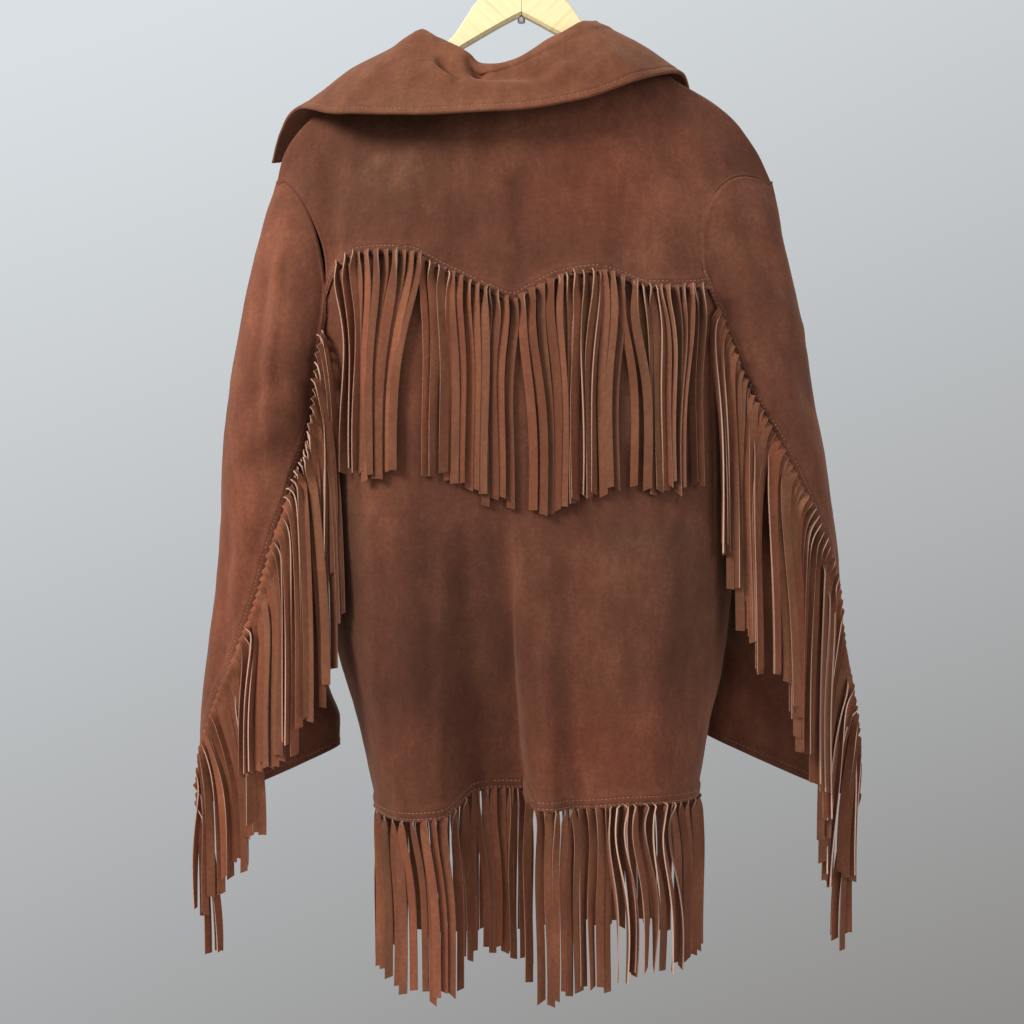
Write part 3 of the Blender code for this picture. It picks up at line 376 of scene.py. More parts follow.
# Where a sleeve's strips end: how far towards the body and below their roots, from u 0 to 1.
Feet = namedtuple("Feet", "u fan length")
LEFT_FEET = rows_of(
    Feet,
    (0.0, 0.018, 0.2), (0.1, 0.024, 0.24), (0.2, 0.028, 0.252), (0.25, 0.026, 0.25),
    (0.3, 0.017, 0.239), (0.4, 0.009, 0.236), (0.5, 0.009, 0.216), (0.6, 0.008, 0.186),
    (0.65, 0.008, 0.164), (0.71, 0.008, 0.14), (0.725, 0.03, 0.196), (0.76, 0.026, 0.188),
    (0.79, 0.026, 0.186), (0.82, 0.021, 0.172), (0.85, 0.016, 0.16), (0.88, 0.013, 0.158),
    (0.9, 0.007, 0.162), (0.92, 0.01, 0.158), (0.94, 0.012, 0.16), (0.965, 0.015, 0.18),
    (0.98, 0.022, 0.174), (1.0, 0.03, 0.162),
)
RIGHT_FEET = rows_of(
    Feet,
    (0.0, 0.008, 0.226), (0.08, 0.008, 0.25), (0.3, 0.004, 0.24), (0.62, 0.008, 0.236),
    (0.7, 0.014, 0.226), (0.78, 0.018, 0.218), (0.84, 0.022, 0.208), (0.855, 0.01, 0.176),
    (0.87, -0.002, 0.158), (0.9, -0.002, 0.142), (0.915, 0.007, 0.17), (0.93, 0.014, 0.188),
    (0.96, 0.025, 0.19), (1.0, 0.033, 0.168),
)
# How far a sleeve's strips turn edge on at their roots and further down, from u 0 to 1.
Turn = namedtuple("Turn", "u root below")
LEFT_TURNS = rows_of(
    Turn,
    (0.0, 64, 36), (0.2, 86, 30), (0.34, 88, 34), (0.45, 44, 36), (0.6, 34, 34), (0.8, 22, 32),
    (1.0, 12, 34),
)
RIGHT_TURNS = rows_of(
    Turn,
    (0.0, 30, 32), (0.35, 34, 34), (0.45, 44, 30), (0.5, 86, 30), (0.63, 90, 30), (0.68, 30, 28),
    (0.8, 12, 26), (1.0, 8, 32),
)
LEFT_HANG = (0.74, 0.88)     # from where to where down the seam strips come to hang from it
RIGHT_HANG = (0.48, 0.66)

# ---------------------------------------------------------------- studio
CAMERA = (0.010, 1.490, -0.647)
LENS = 49.2
FLOOR_Z = -1.88
FLOOR_RADIUS = 1.7
AIM = (0.0, 0.0, -0.62)      # where every light points
Light = namedtuple("Light", "name place size power colour")
LIGHTS = rows_of(
    Light,
    ("key", (1.70, 1.15, 0.65), 0.9, 64.0, (1.0, 0.96, 0.91)),
    ("fill", (-1.6, 1.5, -0.1), 1.4, 17.0, (0.95, 0.97, 1.0)),
    ("far", (-0.6, -2.2, 0.5), 1.4, 16.0, (1.0, 0.98, 0.96)),
)


# ---------------------------------------------------------------- helpers
LEFT, BEHIND, UP = np.eye(3)


def smooth(rows, key, column, at):
    """A column of a table read between its rows on a curve that never overshoots them."""
    x = np.array([getattr(row, key) for row in rows], float)
    y = np.array([getattr(row, column) for row in rows], float)
    at = np.clip(np.asarray(at, float), x[0], x[-1])
    if y.ndim == 2:
        return np.stack([_hermite(x, y[:, i], at) for i in range(y.shape[1])], -1)
    return _hermite(x, y, at)


def cubic(t, step, low, high, slope_low, slope_high):
    """The curve between two values a step apart, with those slopes, t of the way."""
    start = (1.0 + 2.0 * t) * (1.0 - t) ** 2 * low + t * (1.0 - t) ** 2 * step * slope_low
    return start + t * t * (3.0 - 2.0 * t) * high + t * t * (t - 1.0) * step * slope_high


def _hermite(x, y, at):
    step = np.diff(x)
    rise = np.diff(y) / step
    slope = np.empty_like(y)
    slope[0] = rise[0]
    slope[-1] = rise[-1]
    same = rise[:-1] * rise[1:] > 0
    safe = np.where(same, rise[:-1] + rise[1:], 1.0)
    slope[1:-1] = np.where(same, 2.0 * rise[:-1] * rise[1:] / safe, 0.0)
    i = np.clip(np.searchsorted(x, at, side="right") - 1, 0, len(x) - 2)
    t = (at - x[i]) / step[i]
    return cubic(t, step[i], y[i], y[i + 1], slope[i], slope[i + 1])


def ease(low, high, at):
    """0 below low, 1 above high, and a soft S between."""
    t = np.clip((at - low) / (high - low), 0.0, 1.0)
    return t * t * (3.0 - 2.0 * t)


def unit(vectors):
    length = np.linalg.norm(vectors, axis=-1, keepdims=True)
    return vectors / np.maximum(length, 1e-12)


def distances(points):
    """How far along a line each of its points lies."""
    return np.concatenate([[0.0], np.linalg.norm(np.diff(points, axis=0), axis=-1).cumsum()])


def stretch(points, axis):
    """Lengths of a grid's lines along one of its axes."""
    return np.linalg.norm(np.diff(points, axis=axis), axis=-1).sum(axis)


def grid_normals(points):
    """Normals of a grid of points, from its two directions."""
    down = np.gradient(points, axis=0)
    along = np.gradient(points, axis=1)
    return unit(np.cross(along, down))


def raised(points, normals, rise):
    """A grid lifted along its normals, and the normals of the grid that it makes."""
    points = points + rise[..., None] * normals
    turned = grid_normals(points)
    return points, turned * np.sign((turned * normals).sum(-1, keepdims=True))


# ---------------------------------------------------------------- the body's surface
def neck_share(x):
    """How far x lies inside the neck hole: 1 at its middle, 0 at its ends and outside."""
    return np.clip(1.0 - ((x - NECK_CENTRE) / NECK_HALF) ** 2, 0.0, 1.0)


def fold_shift(x, v, front):
    """How far the folds pull the wall inward."""
    shift = np.zeros_like(x)
    for row in FOLDS:
        share = np.clip((v - row.start) / (1.0 - row.start), 0.0, 1.0)
        middle = row.x_start + (row.x_hem - row.x_start) * share
        depth = row.depth_mid * ease(0.0, 0.5, share) + (row.depth_hem - row.depth_mid) * share ** 2
        profile = np.exp(-((x - middle) / row.flank) ** 2)
        shift += np.where(front == (row.side < 0), depth * profile, 0.0)
    return shift


def recess_share(x, v):
    """1 in the recess beside the back's middle fold, 0 outside it."""
    share = np.clip((v - LAP_START) / (1.0 - LAP_START), 0.0, 1.0)
    edge = LAP_EDGE_TOP + (LAP_EDGE_HEM - LAP_EDGE_TOP) * share
    near = ease(edge - LAP_EDGE_WIDTH, edge + LAP_EDGE_WIDTH, x)
    far = 1.0 - ease(RECESS_FAR_SIDE - RECESS_FLANK, RECESS_FAR_SIDE + RECESS_FLANK, x)
    return near * far


def recess_depth(v):
    share = np.clip((v - LAP_START) / (1.0 - LAP_START), 0.0, 1.0)
    return RECESS_MID * ease(0.0, 0.6, share) + (RECESS_HEM - RECESS_MID) * share ** 2


def body(a, v):
    """A point of the wall: a runs from 0 at the back's middle over 1 at the left side to
    2 at the front's middle, and below 0 round the right side; v runs from crest to hem."""
    a, v = np.broadcast_arrays(np.asarray(a, float), np.asarray(v, float))
    front = np.abs(a) > 1.0
    quarter = np.where(front, 2.0 - np.abs(a), np.abs(a))
    side = np.where(a < 0.0, -1.0, 1.0)
    turn = 0.5 * np.pi * np.clip((quarter - FLAT_SHARE) / (1.0 - FLAT_SHARE), 0.0, 1.0)
    flat = np.clip(quarter / FLAT_SHARE, 0.0, 1.0)

    def across(at):
        width = smooth(BODY, "v", "flat", at) * flat + smooth(BODY, "v", "round", at) * np.sin(turn)
        return smooth(BODY, "v", "middle", at) + side * width

    x = across(v)
    x_top = across(np.zeros_like(v))
    inside = neck_share(x_top)
    reach = np.where(front, smooth(BODY, "v", "front", v), smooth(BODY, "v", "back", v))
    neck = np.where(front, NECK_FRONT, NECK_BACK) * np.sqrt(inside) * (1.0 - ease(0.0, NECK_FADE_V, v))
    y = np.sqrt((reach * np.cos(turn)) ** 2 + neck ** 2)
    y = y - fold_shift(x, v, front) - np.where(front, 0.0, recess_share(x, v) * recess_depth(v))
    y = np.where(front, -y, y)
    drop = np.where(front, NECK_DROP_FRONT, NECK_DROP_BACK) * inside
    top = smooth(CREST, "x", "z", x_top) - drop
    rise = np.where(front, 0.0, RECESS_RISE * recess_share(x, v) * ease(RECESS_RISE_START, 1.0, v))
    z = top + (smooth(HEM, "a", "z", a) - top) * v + rise
    return np.stack([x, y, z], -1)


def body_normals(a, v):
    step = 0.002
    along = body(a + step, v) - body(a - step, v)
    down = body(a, np.minimum(v + step, 1.0)) - body(a, np.maximum(v - step, 0.0))
    normals = unit(np.cross(along, down))
    crest = (np.broadcast_to(v, normals.shape[:-1]) == 0.0) & (neck_share(body(a, v)[..., 0]) == 0.0)
    normals[..., 1] = np.where(crest, 0.0, normals[..., 1])
    return unit(normals)


def armhole(v, lens):
    """How far out, in quarter sections, a panel reaches beside the armhole."""
    return 1.0 - lens * np.sin(np.pi * np.clip(v / UNDERARM_V, 0.0, 1.0)) ** ARMHOLE_FULLNESS


def rear_lens(side):
    return np.where(side < 0.0, REAR_LENS_RIGHT, REAR_LENS_LEFT)


def back_a(f, v):
    """The place round the body of a back column, pushed in beside the armholes."""
    return f * (1.0 - (1.0 - armhole(v, rear_lens(f))) * f * f)


def front_a(f, v):
    """The same for the left front, whose columns run from the side to the middle."""
    return 2.0 - f * (1.0 - (1.0 - armhole(v, FRONT_LENS)) * f * f)


def yoke_edge(f):
    """v of the yoke's lower edge in column f."""
    edge = np.full_like(f, YOKE_START_V)
    for _ in range(4):
        top = body(back_a(f, edge), 0.0)[..., 2]
        foot = body(back_a(f, edge), 1.0)[..., 2]
        edge = (smooth(SCALLOPS, "f", "z", f) - top) / (foot - top)
    return edge


# ---------------------------------------------------------------- sleeves
def armhole_loop(side, turn):
    """The armhole's outline, with turn 0 at the underarm and 180 at the shoulder point."""
    turn = np.radians(turn)
    v = UNDERARM_V * 0.5 * (1.0 + np.cos(turn))
    behind = np.sin(turn) >= 0.0
    back = armhole(v, rear_lens(side))
    front = 2.0 - armhole(v, FRONT_LENS)
    return body(side * np.where(behind, back, front), v)


def sleeve(rows, side, turn, k):
    """A point of a sleeve's wall: turn runs round it and k from armhole to cuff."""
    turn, k = np.broadcast_arrays(np.asarray(turn, float), np.asarray(k, float))
    get = {name: smooth(rows, "k", name, k) for name in Ring._fields[1:]}
    angle = np.radians(turn)
    share = 0.5 * (1.0 - np.cos(angle))
    x = side * (get["inner_x"] + (get["outer_x"] - get["inner_x"]) * share)
    z = get["inner_z"] + (get["outer_z"] - get["inner_z"]) * share
    y = get["y"] + get["depth"] * np.sin(angle)
    ring = np.stack([x, y, z], -1)
    join = get["join"][..., None]
    return join * (armhole_loop(side, turn) + side * SEAM_GAP * LEFT) + (1.0 - join) * ring


def sleeve_normals(rows, side, turn, k):
    step = 0.004
    round_it = sleeve(rows, side, turn + 1.0, k) - sleeve(rows, side, turn - 1.0, k)
    down = sleeve(rows, side, turn, np.minimum(k + step, 1.0))
    down = down - sleeve(rows, side, turn, np.maximum(k - step, 0.0))
    return unit(side * np.cross(round_it, down))


def sleeve_seams(rows, k):
    return smooth(rows, "k", "rear", k), smooth(rows, "k", "front", k)


# ---------------------------------------------------------------- noise, creases and tone
def lumps(points, size, seed):
    """Smooth noise from -1 to 1 whose features have that size."""
    side = 24
    values = np.random.default_rng(seed).uniform(-1.0, 1.0, (side, side, side))
    place = points / size
    low = np.floor(place).astype(int)
    share = place - low
    share = share * share * (3.0 - 2.0 * share)
    total = np.zeros(points.shape[:-1])
    for corner in product((0, 1), repeat=3):
        weight = np.where(np.array(corner) == 1, share, 1.0 - share).prod(-1)
        x, y, z = np.moveaxis((low + np.array(corner)) % side, -1, 0)
        total += weight * values[x, y, z]
    return total


def facing(normals, side):
    return np.clip(2.5 * side * normals[..., 1], 0.0, 1.0)


def crease_rise(points, normals, rows):
    """How far the creases lift each point."""
    rise = np.zeros(points.shape[:-1])
    for row in rows:
        start = np.array([row.x1, row.z1])
        whole = np.array([row.x2, row.z2]) - start
        length = np.linalg.norm(whole)
        way = whole / length
        offset = points[..., (0, 2)] - start
        share = np.clip(offset @ way / length, 0.0, 1.0)
        aside = offset @ np.array([-way[1], way[0]]) - 4.0 * row.bow * share * (1.0 - share)
        fade = ease(0.0, 0.28, share) * (1.0 - ease(0.66, 1.0, share))
        rise += facing(normals, row.side) * row.depth * fade * np.exp(-(aside / row.width) ** 2)
    return rise


def lump_rise(points):
    wide = 0.0013 * lumps(points, 0.060, 1)
    return wide + 0.0005 * lumps(points, 0.021, 2) + 0.00016 * lumps(points, 0.0075, 3)


def patch_share(points, normals, column):
    total = np.zeros(points.shape[:-1])
    for row in NAP_AND_PAINTED_LIGHT_SPOTS:
        far = ((points[..., 0] - row.x) / row.wide) ** 2 + ((points[..., 2] - row.z) / row.high) ** 2
        total += getattr(row, column) * facing(normals, row.side) * np.exp(-far)
    return total


def edge_rise(kind, far):
    """How an edge's making lifts the cloth, at a distance from it."""
    if kind == "sewn":
        return 0.0007 * np.exp(-((far - 0.006) / 0.0035) ** 2) - 0.0010 * np.exp(-(far / 0.0014) ** 2)
    if kind == "lapped":
        groove = sum(np.exp(-((far - EDGE_LINES[row]) / 0.0008) ** 2) for row in LAPPED_ROWS)
        return LAP_RISE * (1.0 - ease(0.0090, 0.0170, far)) - 0.0005 * groove
    if kind == "faced":
        groove = np.exp(-((far - EDGE_LINES[FACED_ROWS[0]]) / 0.0010) ** 2)
        return 0.0007 * (1.0 - ease(0.0075, 0.0140, far)) - 0.0006 * groove
    return np.zeros_like(far)


# ---------------------------------------------------------------- finishes
class Graph:
    """Short ways to add and join the nodes of a material or a world."""

    def __init__(self, owner):
        owner.use_nodes = True
        self.owner = owner
        self.tree = owner.node_tree
        nodes = self.tree.nodes
        self.shader = nodes.get("Principled BSDF") or nodes["Background"]
        self.spots = self.add("ShaderNodeTexCoord").outputs
        self.place = self.spots["Object"]

    def add(self, kind, settings=None, **inputs):
        """A node with its inputs, by name or, as i and a number, by place."""
        node = self.tree.nodes.new(kind)
        for key, value in (settings or {}).items():
            setattr(node, key, value)
        for key, value in inputs.items():
            self.set(node, int(key[1:]) if key[0] == "i" and key[1:].isdigit() else key, value)
        return node

    def set(self, node, key, value):
        socket = node.inputs[key]
        if isinstance(value, bpy.types.NodeSocket):
            self.tree.links.new(value, socket)
        else:
            socket.default_value = value

    def finish(self, **inputs):
        """Sets the shader's inputs, whose names have _ for a space."""
        for key, value in inputs.items():
            self.set(self.shader, key.replace("_", " "), value)
        return self.owner

    def noise(self, place, scale, detail=2.0, roughness=0.5):
        noise = {"Vector": place, "Scale": scale, "Detail": detail, "Roughness": roughness}
        return self.add("ShaderNodeTexNoise", **noise).outputs["Fac"]

    def mapped(self, place, **change):
        return self.add("ShaderNodeMapping", Vector=place, **change).outputs["Vector"]

    def mark(self, name):
        return self.add("ShaderNodeAttribute", {"attribute_name": name}).outputs["Fac"]

    def mix(self, share, one, other):
        node = self.add("ShaderNodeMix", {"data_type": "RGBA"}, i0=share, i6=one, i7=other)
        return node.outputs[2]

    def math(self, kind, one, other=0.0, third=None):
        node = self.add("ShaderNodeMath", {"operation": kind}, i0=one, i1=other)
        if third is not None:
            self.set(node, 2, third)
        return node.outputs[0]

    def between(self, value, low, high):
        return self.add("ShaderNodeMapRange", Value=value, i1=low, i2=high).outputs[0]

    def vector(self, kind, one, **inputs):
        return self.add("ShaderNodeVectorMath", {"operation": kind}, i0=one, **inputs).outputs[0]

    def bump(self, height, strength, distance):
        bump = {"Height": height, "Strength": strength, "Distance": distance}
        return self.add("ShaderNodeBump", **bump).outputs["Normal"]

    def ramp(self, share, *stops):
        node = self.add("ShaderNodeValToRGB", Fac=share)
        elements = node.color_ramp.elements
        while len(elements) < len(stops):
            elements.new(0.5)
        for element, (at, colour) in zip(elements, stops):
            element.position = at
            element.color = (*colour, 1.0)
        return node.outputs["Color"]


def material(name):
    return Graph(bpy.data.materials.new(name))


def suede(name, dark, middle, light, mottle=0.55):
    """Napped suede: mottled, brushed in soft streaks, and darker or lighter with the cloth's
    tone mark, which holds both the nap's own tone and painted light and shade.
    """
    g = material(name)
    wide = g.noise(g.place, 9.0, 4.0, 0.6)
    medium = g.noise(g.mapped(g.place, Scale=(1.0, 1.0, 0.35)), 46.0, 4.0, 0.62)
    small = g.noise(g.place, 210.0, 3.0, 0.6)
    fine = g.noise(g.place, 760.0, 2.0, 0.6)
    share = g.math("MULTIPLY_ADD", wide, mottle, 0.5 - 0.5 * mottle - 0.30)
    share = g.math("MULTIPLY_ADD", medium, 0.44, g.math("SUBTRACT", share, 0.06))
    share = g.math("MULTIPLY_ADD", small, 0.28, share)
    colour = g.ramp(share, (0.26, dark), (0.50, middle), (0.76, light))
    warm = g.mark("warm")
    for most, tint in ((1.0, (1.12, 0.93, 0.90)), (-1.0, (0.88, 1.04, 1.08))):
        colour = g.mix(g.between(warm, 0.0, most), colour, g.vector("MULTIPLY", colour, i1=tint))
    level = g.math("ADD", g.mark("tone"), 1.0)
    speck = g.math("MULTIPLY_ADD", fine, 0.42, 0.79)
    height = g.math("MULTIPLY_ADD", fine, 0.5, g.math("MULTIPLY", small, 0.8))
    return g.finish(
        Base_Color=g.vector("SCALE", colour, Scale=g.math("MULTIPLY", level, speck)),
        Roughness=g.math("MULTIPLY_ADD", medium, 0.14, 0.84), Specular_IOR_Level=0.16,
        Sheen_Weight=0.16, Sheen_Roughness=0.42, Sheen_Tint=(1.0, 0.62, 0.42, 1.0),
        Normal=g.bump(height, 0.55, 0.0009),
    )


def cut_edge(name, dark, light, pale):
    """The raw edge of cut suede, made paler by the pale mark: partly the edge's own paler colour,
    partly painted light where a strip turns the edge out towards the light.
    """
    g = material(name)
    nap = g.ramp(g.noise(g.place, 320.0, 3.0, 0.6), (0.30, dark), (0.66, light))
    return g.finish(
        Base_Color=g.mix(g.mark("pale"), nap, (*pale, 1.0)), Roughness=0.92,
        Specular_IOR_Level=0.15, Normal=g.bump(g.noise(g.place, 900.0), 0.5, 0.0005),
    )


def thread(name, colour):
    g = material(name)
    dark = tuple(0.55 * part for part in colour)
    diagonal = {"bands_direction": "DIAGONAL"}
    twist = g.add("ShaderNodeTexWave", diagonal, Vector=g.place, Scale=700.0).outputs["Fac"]
    return g.finish(
        Base_Color=g.ramp(g.noise(g.place, 240.0, 2.0), (0.35, dark), (0.65, colour)),
        Roughness=0.7, Normal=g.bump(twist, 0.3, 0.0002),
    )


def beech(name, tilt):
    """Varnished beech whose grain runs down the arm."""
    g = material(name)
    turned = g.mapped(g.place, Rotation=(0.0, tilt, 0.0))
    grain = g.mapped(turned, Scale=(1.0, 9.0, 9.0))
    bands = g.add(
        "ShaderNodeTexWave", {"bands_direction": "Z"},
        Vector=turned, Scale=55.0, Distortion=2.2, Detail=2.0,
    ).outputs["Fac"]
    share = g.math("MULTIPLY_ADD", bands, 0.12, g.math("MULTIPLY", g.noise(grain, 26.0, 4.0), 0.88))
    light, middle, dark = (0.92, 0.76, 0.43), (0.89, 0.71, 0.385), (0.78, 0.59, 0.295)
    colour = g.ramp(share, (0.25, dark), (0.42, middle), (0.70, light))
    flecks = g.math("MULTIPLY", g.between(g.noise(grain, 90.0, 1.0), 0.62, 0.70), 0.35)
    return g.finish(
        Base_Color=g.mix(flecks, colour, (*dark, 1.0)), Roughness=0.38,
        Coat_Weight=0.35, Coat_Roughness=0.18, Normal=g.bump(share, 0.12, 0.0006),
    )


def steel(name):
    g = material(name)
    share = g.noise(g.place, 160.0, 3.0)
    colour = g.ramp(share, (0.3, (0.46, 0.46, 0.45)), (0.7, (0.66, 0.66, 0.65)))
    rough = g.math("MULTIPLY_ADD", share, 0.22, 0.16)
    return g.finish(Base_Color=colour, Metallic=1.0, Roughness=rough)


def make_finishes():
    body = ((0.061, 0.0200, 0.0108), (0.109, 0.0372, 0.0204), (0.185, 0.0695, 0.0382))
    # lit: a lighter copy of the body's suede, painted light for the collar and the fringe, which show
    # more lit than the body.
    lit = ((0.084, 0.0278, 0.0136), (0.144, 0.0508, 0.0255), (0.226, 0.0875, 0.0450))
    return {
        "suede": suede("suede", *body),
        "collar": suede("collar_suede_painted_light", *lit),
        "fringe": suede("fringe_suede_painted_light", *lit, mottle=0.30),
        "edge": cut_edge("cut_edge", (0.15, 0.066, 0.040), (0.27, 0.130, 0.082), (0.62, 0.40, 0.30)),
        "hem_edge": cut_edge(
            "turned_edge", (0.120, 0.046, 0.027), (0.210, 0.090, 0.055), (0.45, 0.27, 0.19),
        ),
        "thread": thread("thread", (0.330, 0.180, 0.115)),
        "wood_left": beech("beech_left", 0.75),
        "wood_right": beech("beech_right", -0.75),
        "steel": steel("steel"),
    }


# ---------------------------------------------------------------- making meshes
def make_piece(name, vertices, faces, finishes, marks=None, **paint):
    """A smooth closed mesh in the shared frame, with its paint (tone, warmth) at every point."""
    mesh = bpy.data.meshes.new(name)
    mesh.from_pydata(np.asarray(vertices).tolist(), [], faces)
    for finish in finishes:
        mesh.materials.append(finish)
    if marks is not None:
        mesh.polygons.foreach_set("material_index", np.asarray(marks, np.int32))
    mesh.polygons.foreach_set("use_smooth", np.ones(len(mesh.polygons), bool))
    for key, values in paint.items():
        layer = mesh.attributes.new(key, "FLOAT", "POINT")
        layer.data.foreach_set("value", np.asarray(values, np.float32).ravel())
    form = bmesh.new()
    form.from_mesh(mesh)
    bmesh.ops.recalc_face_normals(form, faces=form.faces[:])
    form.to_mesh(mesh)
    form.free()
    piece = bpy.data.objects.new(name, mesh)
    bpy.context.scene.collection.objects.link(piece)
    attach(piece, "root")
    return piece


def grid_faces(rows, columns, base):
    """Quads of a grid of points that starts at index base."""
    start = base + np.arange(rows - 1)[:, None] * columns + np.arange(columns - 1)
    return np.stack([start, start + 1, start + columns + 1, start + columns], -1).reshape(-1, 4)


def rim_places(rows, columns):
    """Row and column of every point round a grid's edge, in order."""
    top = [(0, c) for c in range(columns)]
    end = [(r, columns - 1) for r in range(1, rows)]
    foot = [(rows - 1, c) for c in range(columns - 2, -1, -1)]
    start = [(r, 0) for r in range(rows - 2, 0, -1)]
    return np.array(top + end + foot + start)


def make_shell(name, points, normals, thickness, finishes):
    """Cloth about a grid of points, with a rounded rim."""
    rows, columns = points.shape[:2]
    count = rows * columns
    half = 0.5 * thickness[..., None] * normals
    r, c = rim_places(rows, columns).T
    inside = points[np.clip(r, 1, rows - 2), np.clip(c, 1, columns - 2)]
    bulge = points[r, c] + 0.35 * thickness[r, c][:, None] * unit(points[r, c] - inside)
    vertices = np.concatenate([(points + half).reshape(-1, 3), (points - half).reshape(-1, 3), bulge])
    a = r * columns + c
    middle = 2 * count + np.arange(len(a))
    b, middle_b = np.roll(a, -1), np.roll(middle, -1)
    faces = np.concatenate([
        grid_faces(rows, columns, 0),
        grid_faces(rows, columns, count)[:, ::-1],
        np.stack([b, a, middle, middle_b], -1),
        np.stack([middle_b, middle, count + a, count + b], -1),
    ])
    marks = np.zeros(len(faces), int)
    marks[-2 * len(a):] = 1
    where = np.concatenate([np.arange(count), np.arange(count), a])
    flat_points, flat_normals = points.reshape(-1, 3), normals.reshape(-1, 3)
    # tone holds the spots' nap and their painted light and shade.
    tone = patch_share(flat_points, flat_normals, "tone")[where]
    warm = patch_share(flat_points, flat_normals, "warm")[where]
    return make_piece(name, vertices, faces.tolist(), finishes, marks, tone=tone, warm=warm)


def graded(length, count):
    """Shares of a length, with the edge lines beside both ends and even steps between."""
    lines = EDGE_LINES / np.asarray(length)[..., None]
    step = np.linspace(0.0, 1.0, count + 2)[1:-1]
    middle = lines[..., -1:] + (1.0 - 2.0 * lines[..., -1:]) * step
    return np.concatenate([lines, middle, 1.0 - lines[..., ::-1]], -1)


def make_panel(name, node, place, count, kinds, finishes):
    """One cut piece: place(across, down) gives its plain surface, and kinds says how its
    top, foot, start and end are made. Returns the piece, its grid and its normals."""
    coarse = np.linspace(0.0, 1.0, 33)
    plain = place(*np.meshgrid(coarse, coarse))[0]
    widths, heights = stretch(plain, 1), stretch(plain, 0)
    across = graded(np.interp(graded(heights.mean(), count[1]), coarse, widths), count[0])
    down = graded(np.interp(graded(widths.mean(), count[0]), coarse, heights), count[1]).T
    points, normals = place(across, down)
    width, height = np.interp(down, coarse, widths), np.interp(across, coarse, heights)
    far = (height * down, height * (1.0 - down), width * across, width * (1.0 - across))
    rise = crease_rise(points, normals, CREASES) + lump_rise(points)
    for kind, distance in zip(kinds, far):
        rise = rise + edge_rise(kind, distance)
    points, turned = raised(points, normals, rise)
    piece = make_shell(name, points, turned, np.full(points.shape[:2], WALL), finishes)
    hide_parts(node)
    return piece, points, turned


# ---------------------------------------------------------------- where the panels lie
def at_body(a, v):
    return body(a, v), body_normals(a, v)


def yoke_place(across, down):
    f = 2.0 * across - 1.0
    v = down * yoke_edge(f)
    return at_body(back_a(f, v), v)


def back_place(across, down):
    f = 2.0 * across - 1.0
    edge = yoke_edge(f)
    v = edge + down * (1.0 - edge)
    return at_body(back_a(f, v), v)


def front_place(side):
    def place(across, down):
        f = FRONT_OPENING + across * (1.0 - FRONT_OPENING)
        return at_body(side * front_a(f, down), down)
    return place


def sleeve_place(rows, side, upper):
    def place(across, down):
        rear, front = sleeve_seams(rows, down)
        start, end = (rear, front) if upper else (front - 360.0, rear)
        turn = start + across * (end - start)
        return sleeve(rows, side, turn, down), sleeve_normals(rows, side, turn, down)
    return place


# ---------------------------------------------------------------- collar
def along(knots, values, at):
    """A smooth curve through the values at the knots, read in every place of a grid."""
    knots = np.array(knots)
    step = np.diff(knots)
    slopes = np.gradient(values, knots, axis=0)
    i = np.clip(np.searchsorted(knots, at, side="right") - 1, 0, len(knots) - 2)
    t = ((at - knots[i]) / step[i])[..., None]
    ends = [
        np.take_along_axis(rows, index[None, ..., None], axis=0)[0]
        for rows in (values, slopes) for index in (i, i + 1)
    ]
    return cubic(t, step[i][..., None], *ends)


def collar_surface(c, down):
    """A point of the collar: c runs from its left front end to its right one, down from its
    seam over the fold to its outer edge."""
    seam = smooth(COLLAR, "c", "seam", c)
    fold = smooth(COLLAR, "c", "fold", c)
    edge = smooth(COLLAR, "c", "edge", c)
    roll = fold + COLLAR_ROLL_SHARE * (edge - fold) + COLLAR_ROLL_OUT * unit(edge - seam)
    rows = [seam, 0.5 * (seam + fold), fold, roll + COLLAR_ROLL * UP]
    for share in COLLAR_FALL:
        rows.append(fold + share * (edge - fold) + COLLAR_CROWN * np.sin(np.pi * share) * UP)
    fall = [COLLAR_STAND_SHARE + (1.0 - COLLAR_STAND_SHARE) * share for share in COLLAR_FALL]
    knots = [0.0, 0.06, 0.12, COLLAR_STAND_SHARE, *fall]
    return along(knots, np.array(rows), down)


def collar_dipped(points):
    """The collar's points, with the dip in its fold."""
    offset = points[..., 0] - DIP_X
    width = np.where(offset < 0.0, *DIP_WIDTHS)
    sink = DIP_DEPTH * np.exp(-(offset / width) ** 2) * ease(*DIP_FADE, points[..., 2])
    return points - sink[..., None] * UP


def make_collar(finishes):
    coarse = np.linspace(0.0, 1.0, 49)
    plain = collar_surface(*np.meshgrid(coarse, coarse))
    length, heights = stretch(plain, 1)[-1], stretch(plain, 0)
    c = graded(length, COLLAR_LINES[0])
    down = graded(np.interp(c, coarse, heights), COLLAR_LINES[1]).T
    c = np.broadcast_to(c, down.shape)
    points = collar_dipped(collar_surface(c, down))
    normals = grid_normals(points)
    normals = normals * np.sign(normals[-20, normals.shape[1] // 2, 1])
    outer = np.interp(c, coarse, heights) * (1.0 - down)
    ends = np.minimum(c, 1.0 - c) * length
    fall = ease(0.10, 0.24, down)
    rise = fall * crease_rise(points, normals, COLLAR_CREASES)
    rise += 0.0016 * fall * lumps(points, 0.045, 7) + lump_rise(points)
    rise += edge_rise("faced", outer) + edge_rise("faced", ends)
    points, turned = raised(points, normals, rise)
    puff = np.exp(-(outer / 0.0045) ** 2) + np.exp(-(ends / 0.0045) ** 2)
    thickness = COLLAR_WALL + 0.0014 * np.clip(puff, 0.0, 1.0)
    piece = make_shell("collar_cloth", points, turned, thickness, finishes)
    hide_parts("collar")
    return piece, points, turned


